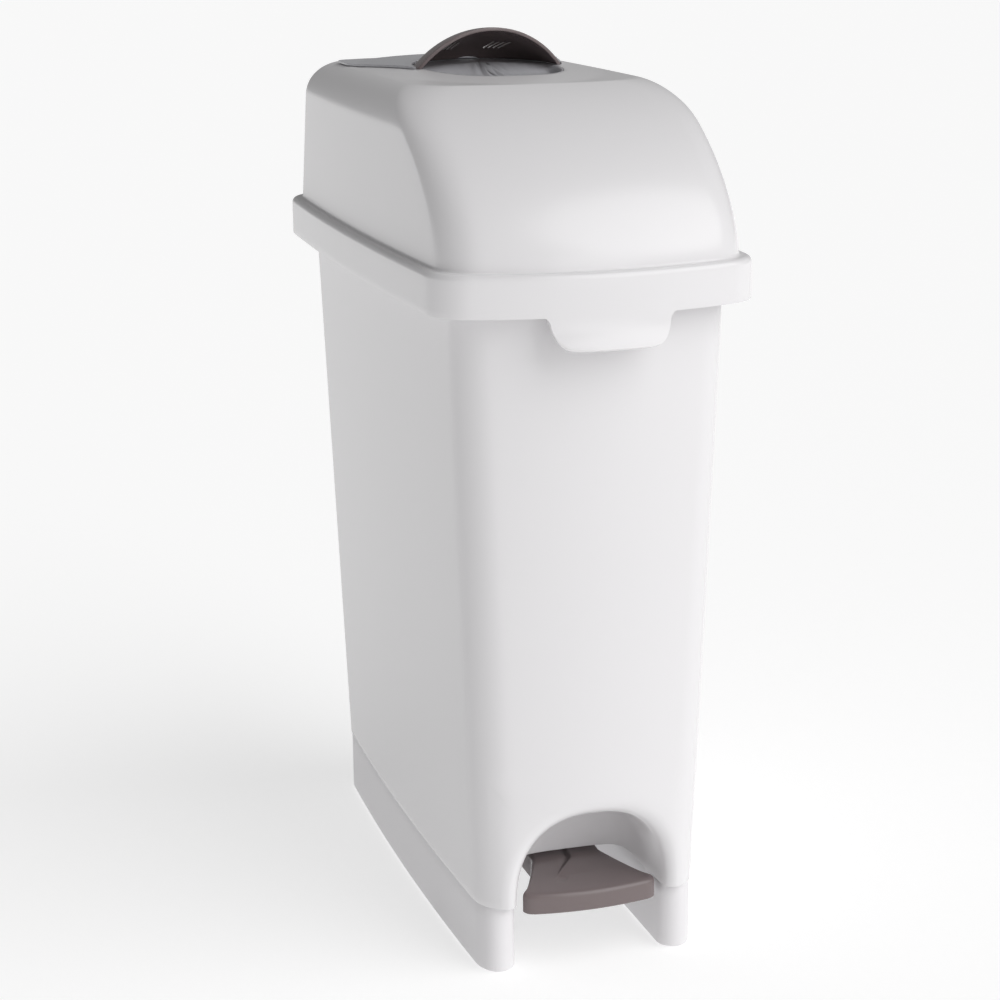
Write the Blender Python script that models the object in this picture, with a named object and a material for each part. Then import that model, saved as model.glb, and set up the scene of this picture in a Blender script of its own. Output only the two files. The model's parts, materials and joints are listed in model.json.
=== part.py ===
"""Slim pedal bin: a tapered body on a runner base, a domed lid on rear hinges, a pedal whose long lever
lifts the lid through a rod at the back, a lift-out liner with a bail, and a lift-off scent cover with a
hooded grip in the lid's crown. Millimetres here, metres in Blender. The front is -Y, up is +Z, and the
floor is z = 0."""

import math

import bmesh
import bpy
from mathutils import Matrix, Vector

MM = 0.001
GAP = 0.3

# Plan outline, shared by the lid, the body, the base and the liner.
SIDE_BOW_R = 3580.0
FRONT_BOW_R = 256.0
REAR_BOW_R = 900.0
CORNER_R = 30.0
FILLET_STEPS = 5
SIDE_STEPS = 4
REAR_STEPS = 4
FRONT_FRACTIONS = [0.0, 0.28, 0.52, 0.7, 0.82, 0.92, 1.0]

# Lid.
LID_HALF_WIDTH = 109.9
LID_FRONT = 225.2
LID_REAR = 215.8
LID_BOTTOM = 440.0
BAND_TOP = 465.3
BAND_ROUND = 4.0
LID_WALL = 2.6
LEDGE = 7.0
CREASE = 466.2
SHOULDER_R = 26.0
SHOULDER_Z = 540.0
SIDE_LEAN = 3.4
REAR_LEAN = 6.0
CROWN_RISE = 5.2
CROWN_MIDDLE = 55.0
BROW_START = -30.0
BROW_HEIGHT = 108.0
BROW_POWER = 1.7
TAB_HALF_WIDTH = 39.4
TAB_DROP = 19.5
TAB_FLARE = 6.0
TAB_NARROWS = 0.1
TAB_COLUMNS = (0.4, 0.7, 0.85, 0.94, 0.985, 1.0)
WALL_LEVELS = (0.0, 0.24, 0.5, 0.74, 0.945)
SHOULDER_LEVELS = (0.27, 0.58, 0.79, 0.925, 0.985)
CROWN_RINGS = (0.8, 0.55)

# Body shell and base.
OVERHANG = 16.2
BODY_TOP = 456.0
BODY_WALL = 3.0
SIDE_DRAFT = 16.3
FRONT_DRAFT = 11.25
REAR_DRAFT = 9.8
STEP_Z = 46.4
BASE_INSET = 0.8
BASE_WALL = 3.0
BASE_BOTTOM = 0.8
COLLAR_HEIGHT = 15.0
LEG_GAP_HALF = 50.0
LEG_NOSE_R = 11.0
LEG_NOSE_STEPS = 8
REAR_CROSS_WALL = 3.0
PAD_R = 8.0
PAD_SINK = 1.8
PAD_X = 63.0
PAD_Y = 150.0

# Niche above the pedal.
NICHE_HALF_WIDTH = 50.5
NICHE_HEIGHT = 60.0
NICHE_DEPTH = 63.0
NICHE_POWER = 3.2
NICHE_ARCH_POWER = 2.4
NICHE_EDGE_LOW = 12.0
NICHE_EDGE_HIGH = 13.0
NICHE_BACK_LIFT = 13.0
NICHE_LIFT_LENGTH = 30.0
WINDOW_TOP = 134.0
WINDOW_COLUMNS = 8
WINDOW_ROWS = 4

# Lid hinge at the back.
HINGE_Y = LID_REAR - 9.2
HINGE_Z = 443.0
HINGE_PIN_R = 2.5
KNUCKLE_R = 4.5
HINGE_STATION = 42.0
LID_KNUCKLE = 7.2
FRAME_KNUCKLE = 9.0
LID_OPENING = 62.0

# Lift rod, pedal and lever.
ROD_Y = HINGE_Y - 31.0
ROD_R = 3.0
AXLE_Y = -30.0
AXLE_HEIGHT = 38.0
AXLE_R = 4.0
HUB_R = 9.0
HUB_HALF = 25.0
BORE_CLEARANCE = 0.3
LEVER_HALF_WIDTH = 13.0
LEVER_THICKNESS = 4.0
TREAD_FRONT = -192.0
TREAD_BACK = -102.0
TREAD_TOP = 53.0
TREAD_RISE = 5.2
TREAD_LIP = 39.5
TREAD_WALL = 3.0

# Deck and liner.
DECK_TOP = 120.0
DECK_THICKNESS = 3.0
DECK_SETBACK = 8.0
LINER_CLEARANCE = 5.0
LINER_WALL = 1.8
LINER_TOP = 449.0
LINER_REAR = ROD_Y - 15.0
LINER_RIM = 3.0

# Scent cover in the crown.
OPENING_HALF_WIDTH = 48.5
OPENING_MIDDLE = 55.0
OPENING_FRONT = 103.0
OPENING_REAR = 82.0
OPENING_POWER = 2.6
HOOD_HALF_WIDTH = 51.0
HOOD_HEIGHT = 24.5
HOOD_FRONT = 24.0
HOOD_LENGTH = 55.0
HOOD_WALL = 2.0
HOOD_SEAT = 0.4
PLATE_THICKNESS = 1.8

SKIRT_DEPTH = 7.0
RECESS_DEPTH = 6.0
HOOD_NOD = 9.0
APRON_HALF_WIDTH = 78.0
APRON_BACK = 150.0
APRON_CORNER = 12.0
APRON_FLARE_Y = 112.0
APRON_THICKNESS = 1.5
APRON_GAP = 1.0
PLUG_HALF_WIDTH = 28.0
PLUG_FRONT = 86.0
PLUG_BACK = 124.0
TRAY_Y = 84.0
TRAY_HALF_X = 32.0
TRAY_HALF_Y = 29.0
TRAY_DEPTH = 16.0
TRAY_WALL = 1.6

# Rim frame.
FRAME_SKIRT = 2.0
FRAME_SKIRT_Z = 444.0
FRAME_TOP = 459.0
FLANGE_Z = 447.0
FLANGE_THICK = 3.0
FLANGE_OUT = 12.0
FLANGE_REAR = 4.5
HINGE_CLEARANCE = 0.2
LUG_FRONT = HINGE_Y - 2.6
BUFFER_OUT = 9.2
BUFFER_R = 2.6

# Mechanism.
COVER_FRONT = -100.0
CHANNEL_HALF = 15.0
CHANNEL_WALL = 2.0
GUIDE_FRONT = 8.0
GUIDE_HEIGHT = 12.0
GUIDE_UPPER_Z = 386.0
LEVER_TOP = 45.0
LEVER_FRONT = -162.0
LEVER_BACK = ROD_Y + 5.5
TREAD_HALF = 45.5
TREAD_WAIST = 24.0
TREAD_CORNER = 6.0
TREAD_BOW_R = 190.0
TREAD_ROUND = 3.0
CAP_LENGTH = 6.0
FOOT_GAP = 0.5
FOOT_R = 6.5
FOOT_LENGTH = 22.0
YOKE_BELOW = 18.0
YOKE_SOCKET = 9.0
YOKE_RIM = 3.0
YOKE_HALF = 3.0
SLOT_CLEARANCE = 0.6
CRANK_PLATE = 3.0
CRANK_HALF = 17.0
CRANK_EAR = 3.0
CRANK_EAR_R = 4.4

# Liner and bail.
LINER_TAPER = 3.0
LINER_CORNER = 22.0
LINER_LIP = 2.0
BAIL_WIRE_R = 2.0
BAIL_GRIP_R = 5.0

CRANK_REACH = HINGE_Y - ROD_Y
CRANK_R = CRANK_REACH / math.cos(math.radians(LID_OPENING / 2))
ROD_STROKE = 2 * CRANK_R * math.sin(math.radians(LID_OPENING / 2))
CRANK_PIN_Z = HINGE_Z - ROD_STROKE / 2
CRANK_PIN_R = 2.5

DOME_LEVELS = [CREASE + (SHOULDER_Z - CREASE) * share for share in WALL_LEVELS]
DOME_LEVELS += [SHOULDER_Z + SHOULDER_R * share for share in SHOULDER_LEVELS]

SHIFT_Y = (LID_FRONT + TAB_FLARE - LID_REAR) / 2

LID_PIECES = ("lid_shell", "lid_hinge_lug_left", "lid_hinge_lug_right", "lid_crank", "crank_pin")
LID_PIECES += ("crank_screw_left", "crank_screw_right")
PEDAL_PIECES = ("pedal_tread", "pedal_lever", "tread_screw_front", "tread_screw_back")
BAIL_PIECES = ("bail_wire", "bail_grip")

WHITE = (0.80, 0.79, 0.80)
PALE_GREY = (0.52, 0.52, 0.55)
TAUPE = (0.18, 0.145, 0.145)
STEEL = (0.62, 0.63, 0.65)
RUBBER = (0.03, 0.03, 0.035)
LINER_GREY = (0.36, 0.37, 0.39)
GEL = (0.35, 0.55, 0.50)


def clear_scene():
    """Removes what is in the scene, then adds the empty that centres the whole object on the origin."""
    for obj in list(bpy.data.objects):
        bpy.data.objects.remove(obj, do_unlink=True)
    add_empty("bin_frame", (0.0, SHIFT_Y, 0.0))


def add_empty(name, place, parent=None):
    empty = bpy.data.objects.new(name, None)
    empty.location = [v * MM for v in place]
    empty.parent = parent
    bpy.context.scene.collection.objects.link(empty)
    return empty


def hang_on_axis(name, place, pieces):
    """Puts moving pieces under an empty on their joint's axis, without moving them."""
    axis = add_empty(name, place, bpy.data.objects["bin_frame"])
    for piece in pieces:
        obj = bpy.data.objects[piece]
        obj.parent = axis
        obj.location = [-v * MM for v in place]


def principled(name, colour, roughness, metallic=0.0):
    material = bpy.data.materials.new(name)
    material.use_nodes = True
    shader = material.node_tree.nodes["Principled BSDF"]
    shader.inputs["Base Color"].default_value = (*colour, 1.0)
    shader.inputs["Roughness"].default_value = roughness
    shader.inputs["Metallic"].default_value = metallic
    return material


def finish(name, bm, finish_values, sharp_angle=35.0):
    """Turns a bmesh in millimetres into a named object in metres, with a material and smooth round faces."""
    bmesh.ops.remove_doubles(bm, verts=bm.verts, dist=0.01)
    bmesh.ops.recalc_face_normals(bm, faces=bm.faces)
    if bm.calc_volume(signed=True) < 0:
        bmesh.ops.reverse_faces(bm, faces=bm.faces)
    bmesh.ops.scale(bm, vec=(MM, MM, MM), verts=bm.verts)
    mesh = bpy.data.meshes.new(name)
    bm.to_mesh(mesh)
    bm.free()
    mesh.shade_smooth()
    mesh.set_sharp_from_angle(angle=math.radians(sharp_angle))
    obj = bpy.data.objects.new(name, mesh)
    bpy.context.scene.collection.objects.link(obj)
    obj.parent = bpy.data.objects["bin_frame"]
    if finish_values:
        mesh.materials.append(principled(name, *finish_values))
    return obj


def add_loft(bm, rings, cap_ends=True, wrap=False, closed=True):
    """Quads between rings of equal length. Each ring is a loop unless closed is false."""
    rows = [[bm.verts.new(point) for point in ring] for ring in rings]
    pairs = list(zip(rows, rows[1:]))
    if wrap:
        pairs.append((rows[-1], rows[0]))
    for low, high in pairs:
        count = len(low)
        for i in range(count if closed else count - 1):
            j = (i + 1) % count
            bm.faces.new((low[i], low[j], high[j], high[i]))
    if cap_ends and not wrap:
        bm.faces.new(rows[0][::-1])
        bm.faces.new(rows[-1])
    return rows


def add_box(bm, low, high):
    size = Vector(high) - Vector(low)
    place = Matrix.Translation((Vector(low) + Vector(high)) / 2) @ Matrix.Diagonal((*size, 1.0))
    bmesh.ops.create_cube(bm, size=1.0, matrix=place)


def add_prism(bm, outline, low, high, axis="Z"):
    """Extrudes a 2-D outline along an axis: (x, y) along Z, or (y, z) along X."""
    place = (lambda p, h: (p[0], p[1], h)) if axis == "Z" else (lambda p, h: (h, p[0], p[1]))
    add_loft(bm, [[place(p, low) for p in outline], [place(p, high) for p in outline]])


def circle(centre, radius, steps=24):
    turn = 2 * math.pi / steps
    turns = [turn * i for i in range(steps)]
    return [(centre[0] + radius * math.cos(a), centre[1] + radius * math.sin(a)) for a in turns]


def solid(name, finish_values, build, *args):
    bm = bmesh.new()
    build(bm, *args)
    return finish(name, bm, finish_values)


def cutter(name, build, *args):
    obj = solid(name, None, build, *args)
    obj.hide_render = True
    obj.display_type = "WIRE"
    return obj


def combine(obj, other, operation):
    """Adds a live Boolean with another object that is kept as a guide."""
    other.hide_render = True
    other.display_type = "WIRE"
    modifier = obj.modifiers.new(other.name, "BOOLEAN")
    modifier.operation = operation
    modifier.solver = "EXACT"
    modifier.object = other
    return obj


# ---------------------------------------------------------------- outlines


def meeting_centre(c1, r1, c2, r2):
    """The rightmost point at distance r1 from c1 and r2 from c2: the centre of a corner fillet."""
    dx, dy = c2[0] - c1[0], c2[1] - c1[1]
    span = math.hypot(dx, dy)
    along = (r1 * r1 - r2 * r2 + span * span) / (2 * span)
    off = math.sqrt(max(r1 * r1 - along * along, 0.0))
    mx, my = c1[0] + along * dx / span, c1[1] + along * dy / span
    choices = [(mx - off * dy / span, my + off * dx / span), (mx + off * dy / span, my - off * dx / span)]
    return max(choices)


def arc(centre, radius, start, end, fractions):
    spread = end - start
    return [
        (centre[0] + radius * math.cos(start + spread * f), centre[1] + radius * math.sin(start + spread * f))
        for f in fractions
    ]


def steps(count):
    return [i / count for i in range(1, count + 1)]


def front_corner(half_width, front, corner, inset):
    """The front corner fillet's centre and radius, with the centres of the front and side arcs."""
    r_side, r_front = SIDE_BOW_R - inset, FRONT_BOW_R - inset
    r_corner = max(corner - inset, 3.0)
    c_side, c_front = (half_width - inset - r_side, 0.0), (0.0, r_front - front + inset)
    return meeting_centre(c_front, r_front - r_corner, c_side, r_side - r_corner), r_corner, c_front, c_side


def outline(half_width, front, rear, corner=CORNER_R, inset=0.0, front_fractions=None):
    """A closed loop, symmetric about X = 0: four shallow arcs and four corner fillets, front centre first."""
    b = rear - inset
    r_side, r_front, r_rear = SIDE_BOW_R - inset, FRONT_BOW_R - inset, REAR_BOW_R - inset
    f_front, r_corner, c_front, c_side = front_corner(half_width, front, corner, inset)
    c_rear = (0.0, b - r_rear)
    f_rear = meeting_centre(c_rear, r_rear - r_corner, c_side, r_side - r_corner)

    def heading(c, p):
        return math.atan2(p[1] - c[1], p[0] - c[0])

    half = arc(c_front, r_front, -math.pi / 2, heading(c_front, f_front), front_fractions or FRONT_FRACTIONS)
    half += arc(f_front, r_corner, heading(c_front, f_front), heading(c_side, f_front), steps(FILLET_STEPS))
    half += arc(c_side, r_side, heading(c_side, f_front), heading(c_side, f_rear), steps(SIDE_STEPS))
    half += arc(f_rear, r_corner, heading(c_side, f_rear), heading(c_rear, f_rear), steps(FILLET_STEPS))
    half += arc(c_rear, r_rear, heading(c_rear, f_rear), math.pi / 2, steps(REAR_STEPS))
    return half + [(-x, y) for x, y in half[-2:0:-1]]


def body_size(z):
    """Half width, front and rear of the body shell's outside at a height."""
    below = (LID_BOTTOM - z) / LID_BOTTOM
    return (
        LID_HALF_WIDTH - OVERHANG - SIDE_DRAFT * below,
        LID_FRONT - OVERHANG - FRONT_DRAFT * below,
        LID_REAR - OVERHANG - REAR_DRAFT * below,
    )


def body_loop(z, inset=0.0):
    return outline(*body_size(z), corner=CORNER_R - 2.0, inset=inset)


def raised(loop, z):
    return [(x, y, z) for x, y in loop]


# ---------------------------------------------------------------- body shell


def rear_y(x, z):
    """The y of the body's outer rear face at a given x and height."""
    return body_size(z)[2] - REAR_BOW_R + math.sqrt(REAR_BOW_R**2 - x * x)


def front_y(x, z):
    """The y of the body's outer front face at a given x and height."""
    loop = body_loop(z)
    count = len(loop) // 2
    for (x0, y0), (x1, y1) in zip(loop[:count], loop[1:]):
        if x0 <= abs(x) <= x1:
            return y0 + (y1 - y0) * (abs(x) - x0) / (x1 - x0)
    return loop[0][1]


def niche_rings():
    """Scale and depth of each ring of the niche, from its outer edge inward. Scale 1 is the arch itself."""
    rings = [("edge", share) for share in (0.0, 0.35, 1.0)]
    rings += [("wall", angle) for angle in (20, 40, 56, 70, 80, 87)]
    return rings


def niche_point(kind, value, angle):
    """A point of the niche as (x, z, depth) on the ring, at an angle round the arch (0 at +X, pi at -X)."""
    edge_r = NICHE_EDGE_LOW + (NICHE_EDGE_HIGH - NICHE_EDGE_LOW) * math.sin(angle)
    power = 2 / NICHE_ARCH_POWER
    ax = NICHE_HALF_WIDTH * math.copysign(abs(math.cos(angle)) ** power, math.cos(angle))
    az = NICHE_HEIGHT * max(math.sin(angle), 0.0) ** power
    reach = math.hypot(ax, az)
    if kind == "edge":
        depth = edge_r * value
        grow = edge_r * (1 - math.sqrt(max(1 - (1 - value) ** 2, 0.0)))
        wall_scale = (1 - (depth / NICHE_DEPTH) ** NICHE_POWER) ** (1 / NICHE_POWER)
        scale = wall_scale + grow / reach
    else:
        low = math.asin((edge_r / NICHE_DEPTH) ** (NICHE_POWER / 2))
        turn = low + (math.pi / 2 - low) * value / 90.0
        depth = NICHE_DEPTH * math.sin(turn) ** (2 / NICHE_POWER)
        scale = math.cos(turn) ** (2 / NICHE_POWER)
    rise = min(max((depth - NICHE_DEPTH + NICHE_LIFT_LENGTH) / (NICHE_LIFT_LENGTH - 5.0), 0.0), 1.0)
    lift = NICHE_BACK_LIFT * rise * rise * (3 - 2 * rise)
    return ax * scale, az * scale + lift, depth


def build_body_skin(bm):
    bottom = STEP_Z + GAP
    window = [bottom + (WINDOW_TOP - bottom) * i / WINDOW_ROWS for i in range(WINDOW_ROWS + 1)]
    levels = window + [WINDOW_TOP + (BODY_TOP - WINDOW_TOP) / 2, BODY_TOP]
    rows = [[bm.verts.new(p) for p in raised(body_loop(z), z)] for z in levels]
    count = len(rows[0])
    c = WINDOW_COLUMNS
    for k, (low, high) in enumerate(zip(rows, rows[1:])):
        for i in range(count):
            in_window = k < WINDOW_ROWS and (i < c or i >= count - c)
            if not in_window:
                j = (i + 1) % count
                bm.faces.new((low[i], low[j], high[j], high[i]))
    for row in rows[:WINDOW_ROWS]:
        for i in list(range(c)) + list(range(count - c + 1, count)):
            bm.verts.remove(row[i])
    border = [row[c] for row in rows[:WINDOW_ROWS]]
    border += [rows[WINDOW_ROWS][i % count] for i in range(c, -c - 1, -1)]
    border += [row[count - c] for row in rows[:WINDOW_ROWS]][::-1]
    angles = [math.atan2((v.co.z - bottom) / NICHE_HEIGHT, v.co.x / NICHE_HALF_WIDTH) for v in border]
    rings = [border]
    for kind, value in niche_rings():
        ring = []
        for angle in angles:
            x, z, depth = niche_point(kind, value, angle)
            ring.append(bm.verts.new((x, front_y(x, bottom + z) + depth, bottom + z)))
        rings.append(ring)
    for outer, inner in zip(rings, rings[1:]):
        for a, b, a2, b2 in zip(outer, outer[1:], inner, inner[1:]):
            bm.faces.new((a, b, b2, a2))
    centre = bm.verts.new((0.0, front_y(0.0, bottom) + NICHE_DEPTH, bottom + NICHE_BACK_LIFT))
    for a, b in zip(rings[-1], rings[-1][1:]):
        bm.faces.new((a, b, centre))
    bmesh.ops.recalc_face_normals(bm, faces=bm.faces)


def outward_skin(name, build, wall, finish_values):
    """An open skin facing outwards, thickened inwards by a Solidify modifier."""
    bm = bmesh.new()
    build(bm)
    bm.normal_update()
    middle = sum((v.co for v in bm.verts), Vector()) / len(bm.verts)
    outward = sum(f.normal.dot(f.calc_center_median() - middle) * f.calc_area() for f in bm.faces)
    if outward < 0:
        bmesh.ops.reverse_faces(bm, faces=bm.faces)
    bmesh.ops.scale(bm, vec=(MM, MM, MM), verts=bm.verts)
    mesh = bpy.data.meshes.new(name)
    bm.to_mesh(mesh)
    bm.free()
    mesh.shade_smooth()
    mesh.set_sharp_from_angle(angle=math.radians(40))
    obj = bpy.data.objects.new(name, mesh)
    bpy.context.scene.collection.objects.link(obj)
    obj.parent = bpy.data.objects["bin_frame"]
    mesh.materials.append(principled(name, *finish_values))
    thicken = obj.modifiers.new("wall", "SOLIDIFY")
    thicken.thickness = wall * MM
    thicken.offset = -1.0
    thicken.use_even_offset = True
    thicken.use_quality_normals = True
    return obj


def make_body_shell():
    return outward_skin("body_shell", build_body_skin, BODY_WALL, (WHITE, 0.32))


# ---------------------------------------------------------------- base plinth


def runner_nose(inset):
    """The runner's round front, from its inner side to where it touches the outline's corner fillet."""
    w, f, _ = body_size(STEP_Z)
    (cx, cy), radius, _, _ = front_corner(w, f, CORNER_R - 2.0, BASE_INSET + inset)
    nose = LEG_NOSE_R - inset
    x = LEG_GAP_HALF + LEG_NOSE_R
    y = cy - math.sqrt((radius - nose) ** 2 - (x - cx) ** 2)
    return arc((x, y), nose, -math.pi, math.atan2(y - cy, x - cx), [0.0] + steps(LEG_NOSE_STEPS))


def runner_half(inset):
    """The right half of the base outline, from the inner side of the runner's nose to the rear centre."""
    loop = outline(*body_size(STEP_Z), corner=CORNER_R - 2.0, inset=BASE_INSET + inset)
    nose = runner_nose(inset)
    y = nose[-1][1]
    return nose + [p for p in loop[: len(loop) // 2 + 1] if p[1] > y + 1.0]


def leg_loop(inset):
    """The U-shaped plan of the two runners and the rear cross wall, walked once round."""
    right = runner_half(inset)
    cross = right[-1][1] - REAR_CROSS_WALL
    inner = LEG_GAP_HALF + inset
    left = [(-x, y) for x, y in right[-2::-1]]
    return [(inner, cross)] + right + left + [(-inner, cross)]


def build_base_walls(bm):
    add_loft(bm, [raised(leg_loop(0.0), z) for z in (BASE_BOTTOM, STEP_Z)])


def build_leg_pocket(bm, side):
    """The hollow of one runner, open at the top."""
    rings = []
    for z in (BASE_BOTTOM + BASE_WALL, STEP_Z + 5.0):
        half = runner_half(BASE_WALL)
        ring = [p for p in half if p[0] >= half[0][0]]
        ring.append((half[0][0], ring[-1][1]))
        rings.append([(side * x, y, z) for x, y in ring])
    add_loft(bm, rings)


def collar_loop(z, inset, front_limit):
    loop = body_loop(z, inset)
    half = loop[: len(loop) // 2 + 1]
    first = next(i for i, p in enumerate(half) if p[1] > front_limit)
    (x0, y0), (x1, y1) = half[first - 1], half[first]
    start = (x0 + (x1 - x0) * (front_limit - y0) / (y1 - y0), front_limit)
    half = [start] + half[first:]
    return half + [(-x, y) for x, y in half[-2::-1]]


def build_collar(bm, low, high, front_limit):
    """A strip that follows the inside of the shell round the sides and the back."""
    inset = BODY_WALL + GAP + 0.1
    rings = []
    for z in (low, high):
        outside = collar_loop(z, inset, front_limit)
        inside = collar_loop(z, inset + BASE_WALL, front_limit)
        rings.append(raised(outside + inside[::-1], z))
    add_loft(bm, rings)


def build_pad_pockets(bm):
    for x, y in pad_places():
        add_prism(bm, circle((x, y), PAD_R + GAP), -5.0, BASE_BOTTOM + PAD_SINK)


def pad_places():
    return [(sx * PAD_X, sy * PAD_Y) for sx in (-1, 1) for sy in (-1, 1)]


def build_x_cylinder(bm, centre, radius, low, high):
    add_prism(bm, circle(centre, radius), low, high, axis="X")


def build_x_tube(bm, centre, inner, outer, low, high):
    rings = [
        [(x, *p) for p in circle(centre, radius)]
        for x, radius in ((low, inner), (low, outer), (high, outer), (high, inner))
    ]
    add_loft(bm, rings, wrap=True)


def make_base_plinth():
    plinth = solid("base_plinth", (WHITE, 0.34), build_base_walls)
    for side, name in ((1, "pocket_right"), (-1, "pocket_left")):
        combine(plinth, cutter(name, build_leg_pocket, side), "DIFFERENCE")
    collar = cutter("base_collar", build_collar, STEP_Z - 4.0, STEP_Z + COLLAR_HEIGHT, -100.0)
    combine(plinth, collar, "UNION")
    combine(plinth, cutter("pad_pockets", build_pad_pockets), "DIFFERENCE")
    axle = cutter("axle_hole", build_x_cylinder, (AXLE_Y, AXLE_HEIGHT), AXLE_R + BORE_CLEARANCE, -60.0, 60.0)
    return combine(plinth, axle, "DIFFERENCE")


# ---------------------------------------------------------------- lid shell


def lid_front_fractions():
    """Columns across the front, close together where the grip tab's rounded corners need them."""
    w, f = LID_HALF_WIDTH, LID_FRONT
    c_front = (0.0, FRONT_BOW_R - f)
    c_side = (w - SIDE_BOW_R, 0.0)
    centre = meeting_centre(c_front, FRONT_BOW_R - CORNER_R - 2, c_side, SIDE_BOW_R - CORNER_R - 2)
    reach = math.atan2(centre[0] - c_front[0], c_front[1] - centre[1])
    columns = [0.0] + [TAB_HALF_WIDTH * share for share in TAB_COLUMNS]
    fractions = [math.asin(x / FRONT_BOW_R) / reach for x in columns]
    return fractions + [(fractions[-1] + 1.0) / 2, 1.0]


def lid_loop(half_width, front, rear, inset=0.0):
    return outline(half_width, front, rear, CORNER_R + 2.0, inset, lid_front_fractions())


def dome_size(z):
    """Half width, front and rear of the dome's outside at a height."""
    rise = min((z - CREASE) / (SHOULDER_Z - CREASE), 1.0)
    w = LID_HALF_WIDTH - LEDGE - SIDE_LEAN * rise
    b = LID_REAR - LEDGE - REAR_LEAN * rise
    if z > SHOULDER_Z:
        pull = SHOULDER_R - math.sqrt(max(SHOULDER_R**2 - (z - SHOULDER_Z) ** 2, 0.0))
        w, b = w - pull, b - pull
    share = ((z - CREASE) / BROW_HEIGHT) ** BROW_POWER
    length = LID_FRONT - LEDGE + BROW_START
    f = -BROW_START + length * (1 - share) ** (1 / BROW_POWER)
    return w, f, b


def crown_z(share):
    return DOME_LEVELS[-1] + CROWN_RISE * (1 - share * share)


def opening_loop(directions, grow=0.0):
    """The opening in the crown, as points in the given directions from its middle."""
    loop = []
    for dx, dy in directions:
        a = OPENING_HALF_WIDTH + grow
        b = (OPENING_FRONT if dy < 0 else OPENING_REAR) + grow
        k = (abs(dx / a) ** OPENING_POWER + abs(dy / b) ** OPENING_POWER) ** (-1 / OPENING_POWER)
        loop.append((dx * k, OPENING_MIDDLE + dy * k))
    return loop


def build_lid_skin(bm):
    band = (LID_HALF_WIDTH, LID_FRONT, LID_REAR)
    rings = [raised(lid_loop(*band), LID_BOTTOM)]
    for turn in (0, 45, 90):
        a = math.radians(turn)
        inset = BAND_ROUND * (1 - math.cos(a))
        z = BAND_TOP - BAND_ROUND + BAND_ROUND * math.sin(a)
        rings.append(raised(lid_loop(*band, inset), z))
    for z in DOME_LEVELS:
        rings.append(raised(lid_loop(*dome_size(z)), z))
    top = rings[-1]
    edge = opening_loop(crown_ways())
    for blend in (*CROWN_RINGS, 0.0):
        ring = []
        for (x0, y0, _), (x1, y1) in zip(top, edge):
            x, y = x1 + (x0 - x1) * blend, y1 + (y0 - y1) * blend
            ring.append((x, y, crown_height(x, y)))
        rings.append(ring)
    rows = add_loft(bm, rings, cap_ends=False)
    add_tab(bm, rows[0], len(TAB_COLUMNS))


def crown_ways():
    """The directions, from the opening's middle, of the points round the dome's highest ring."""
    return [(x, y - OPENING_MIDDLE) for x, y in lid_loop(*dome_size(DOME_LEVELS[-1]))]


def crown_height(x, y):
    """The gently crowned top inside the last dome ring."""
    w, f, b = dome_size(DOME_LEVELS[-1])
    reach = f + CROWN_MIDDLE if y < CROWN_MIDDLE else b - CROWN_MIDDLE
    share = min(math.hypot(x / w, (y - CROWN_MIDDLE) / reach), 1.0)
    return crown_z(share)


def add_tab(bm, row, last):
    """Rows that drop from the band's lower edge to the grip tab's rounded outline."""
    count = len(row)
    columns = [row[i % count] for i in range(-last, last + 1)]
    previous = columns
    for level in (0.35, 0.7, 1.0):
        current = []
        for v in columns:
            share = abs(v.co.x) / TAB_HALF_WIDTH
            drop = TAB_DROP * level * (1 - min(share, 1.0) ** 9) ** 0.28
            x = v.co.x * (1 - TAB_NARROWS * drop / TAB_DROP)
            flare = TAB_FLARE * (drop / TAB_DROP) ** 2
            current.append(v if share > 0.999 else bm.verts.new((x, v.co.y - flare, v.co.z - drop)))
        for a, b, a2, b2 in zip(previous, previous[1:], current, current[1:]):
            corners = [a2, b2, b, a]
            bm.faces.new([v for i, v in enumerate(corners) if v not in corners[:i]])
        previous = current


def make_lid_shell():
    return outward_skin("lid_shell", build_lid_skin, LID_WALL, (WHITE, 0.3))


# ---------------------------------------------------------------- rim frame and hinge


def frame_ring(z, grow, rear_grow=None):
    """The body's outline at a height, grown outwards; the rear may grow by less."""
    w, f, b = body_size(z)
    rear_grow = grow if rear_grow is None else rear_grow
    return raised(outline(w + grow, f + grow, b + rear_grow, CORNER_R - 2.0 + grow), z)


def build_frame_clip(bm):
    """An upturned channel pressed over the shell's top edge."""
    outer, lip = FRAME_SKIRT + GAP, -BODY_WALL - GAP
    profile = [
        (GAP, FRAME_SKIRT_Z),
        (outer, FRAME_SKIRT_Z),
        (outer, FRAME_TOP),
        (lip - FRAME_SKIRT, FRAME_TOP),
        (lip - FRAME_SKIRT, FRAME_SKIRT_Z + 2.0),
        (lip, FRAME_SKIRT_Z + 2.0),
        (lip, BODY_TOP + GAP),
        (GAP, BODY_TOP + GAP),
    ]
    add_loft(bm, [frame_ring(z, grow) for grow, z in profile], wrap=True)


def build_frame_flange(bm):
    """The ledge outside the channel, on which the closed lid's buffers stand. It is narrow at the hinge."""
    inner = FRAME_SKIRT / 2
    profile = [(inner, inner, FLANGE_Z), (FLANGE_OUT, FLANGE_REAR, FLANGE_Z)]
    profile += [(FLANGE_OUT, FLANGE_REAR, FLANGE_Z + FLANGE_THICK), (inner, inner, FLANGE_Z + FLANGE_THICK)]
    add_loft(bm, [frame_ring(z, grow, rear) for grow, rear, z in profile], wrap=True)


def knuckle_spans():
    """The frame's hinge knuckles: one on each side of each lid knuckle."""
    half = LID_KNUCKLE / 2 + GAP
    starts = (half, -half - FRAME_KNUCKLE)
    lows = [side * HINGE_STATION + start for side in (-1, 1) for start in starts]
    return [(low, low + FRAME_KNUCKLE) for low in lows]


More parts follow.
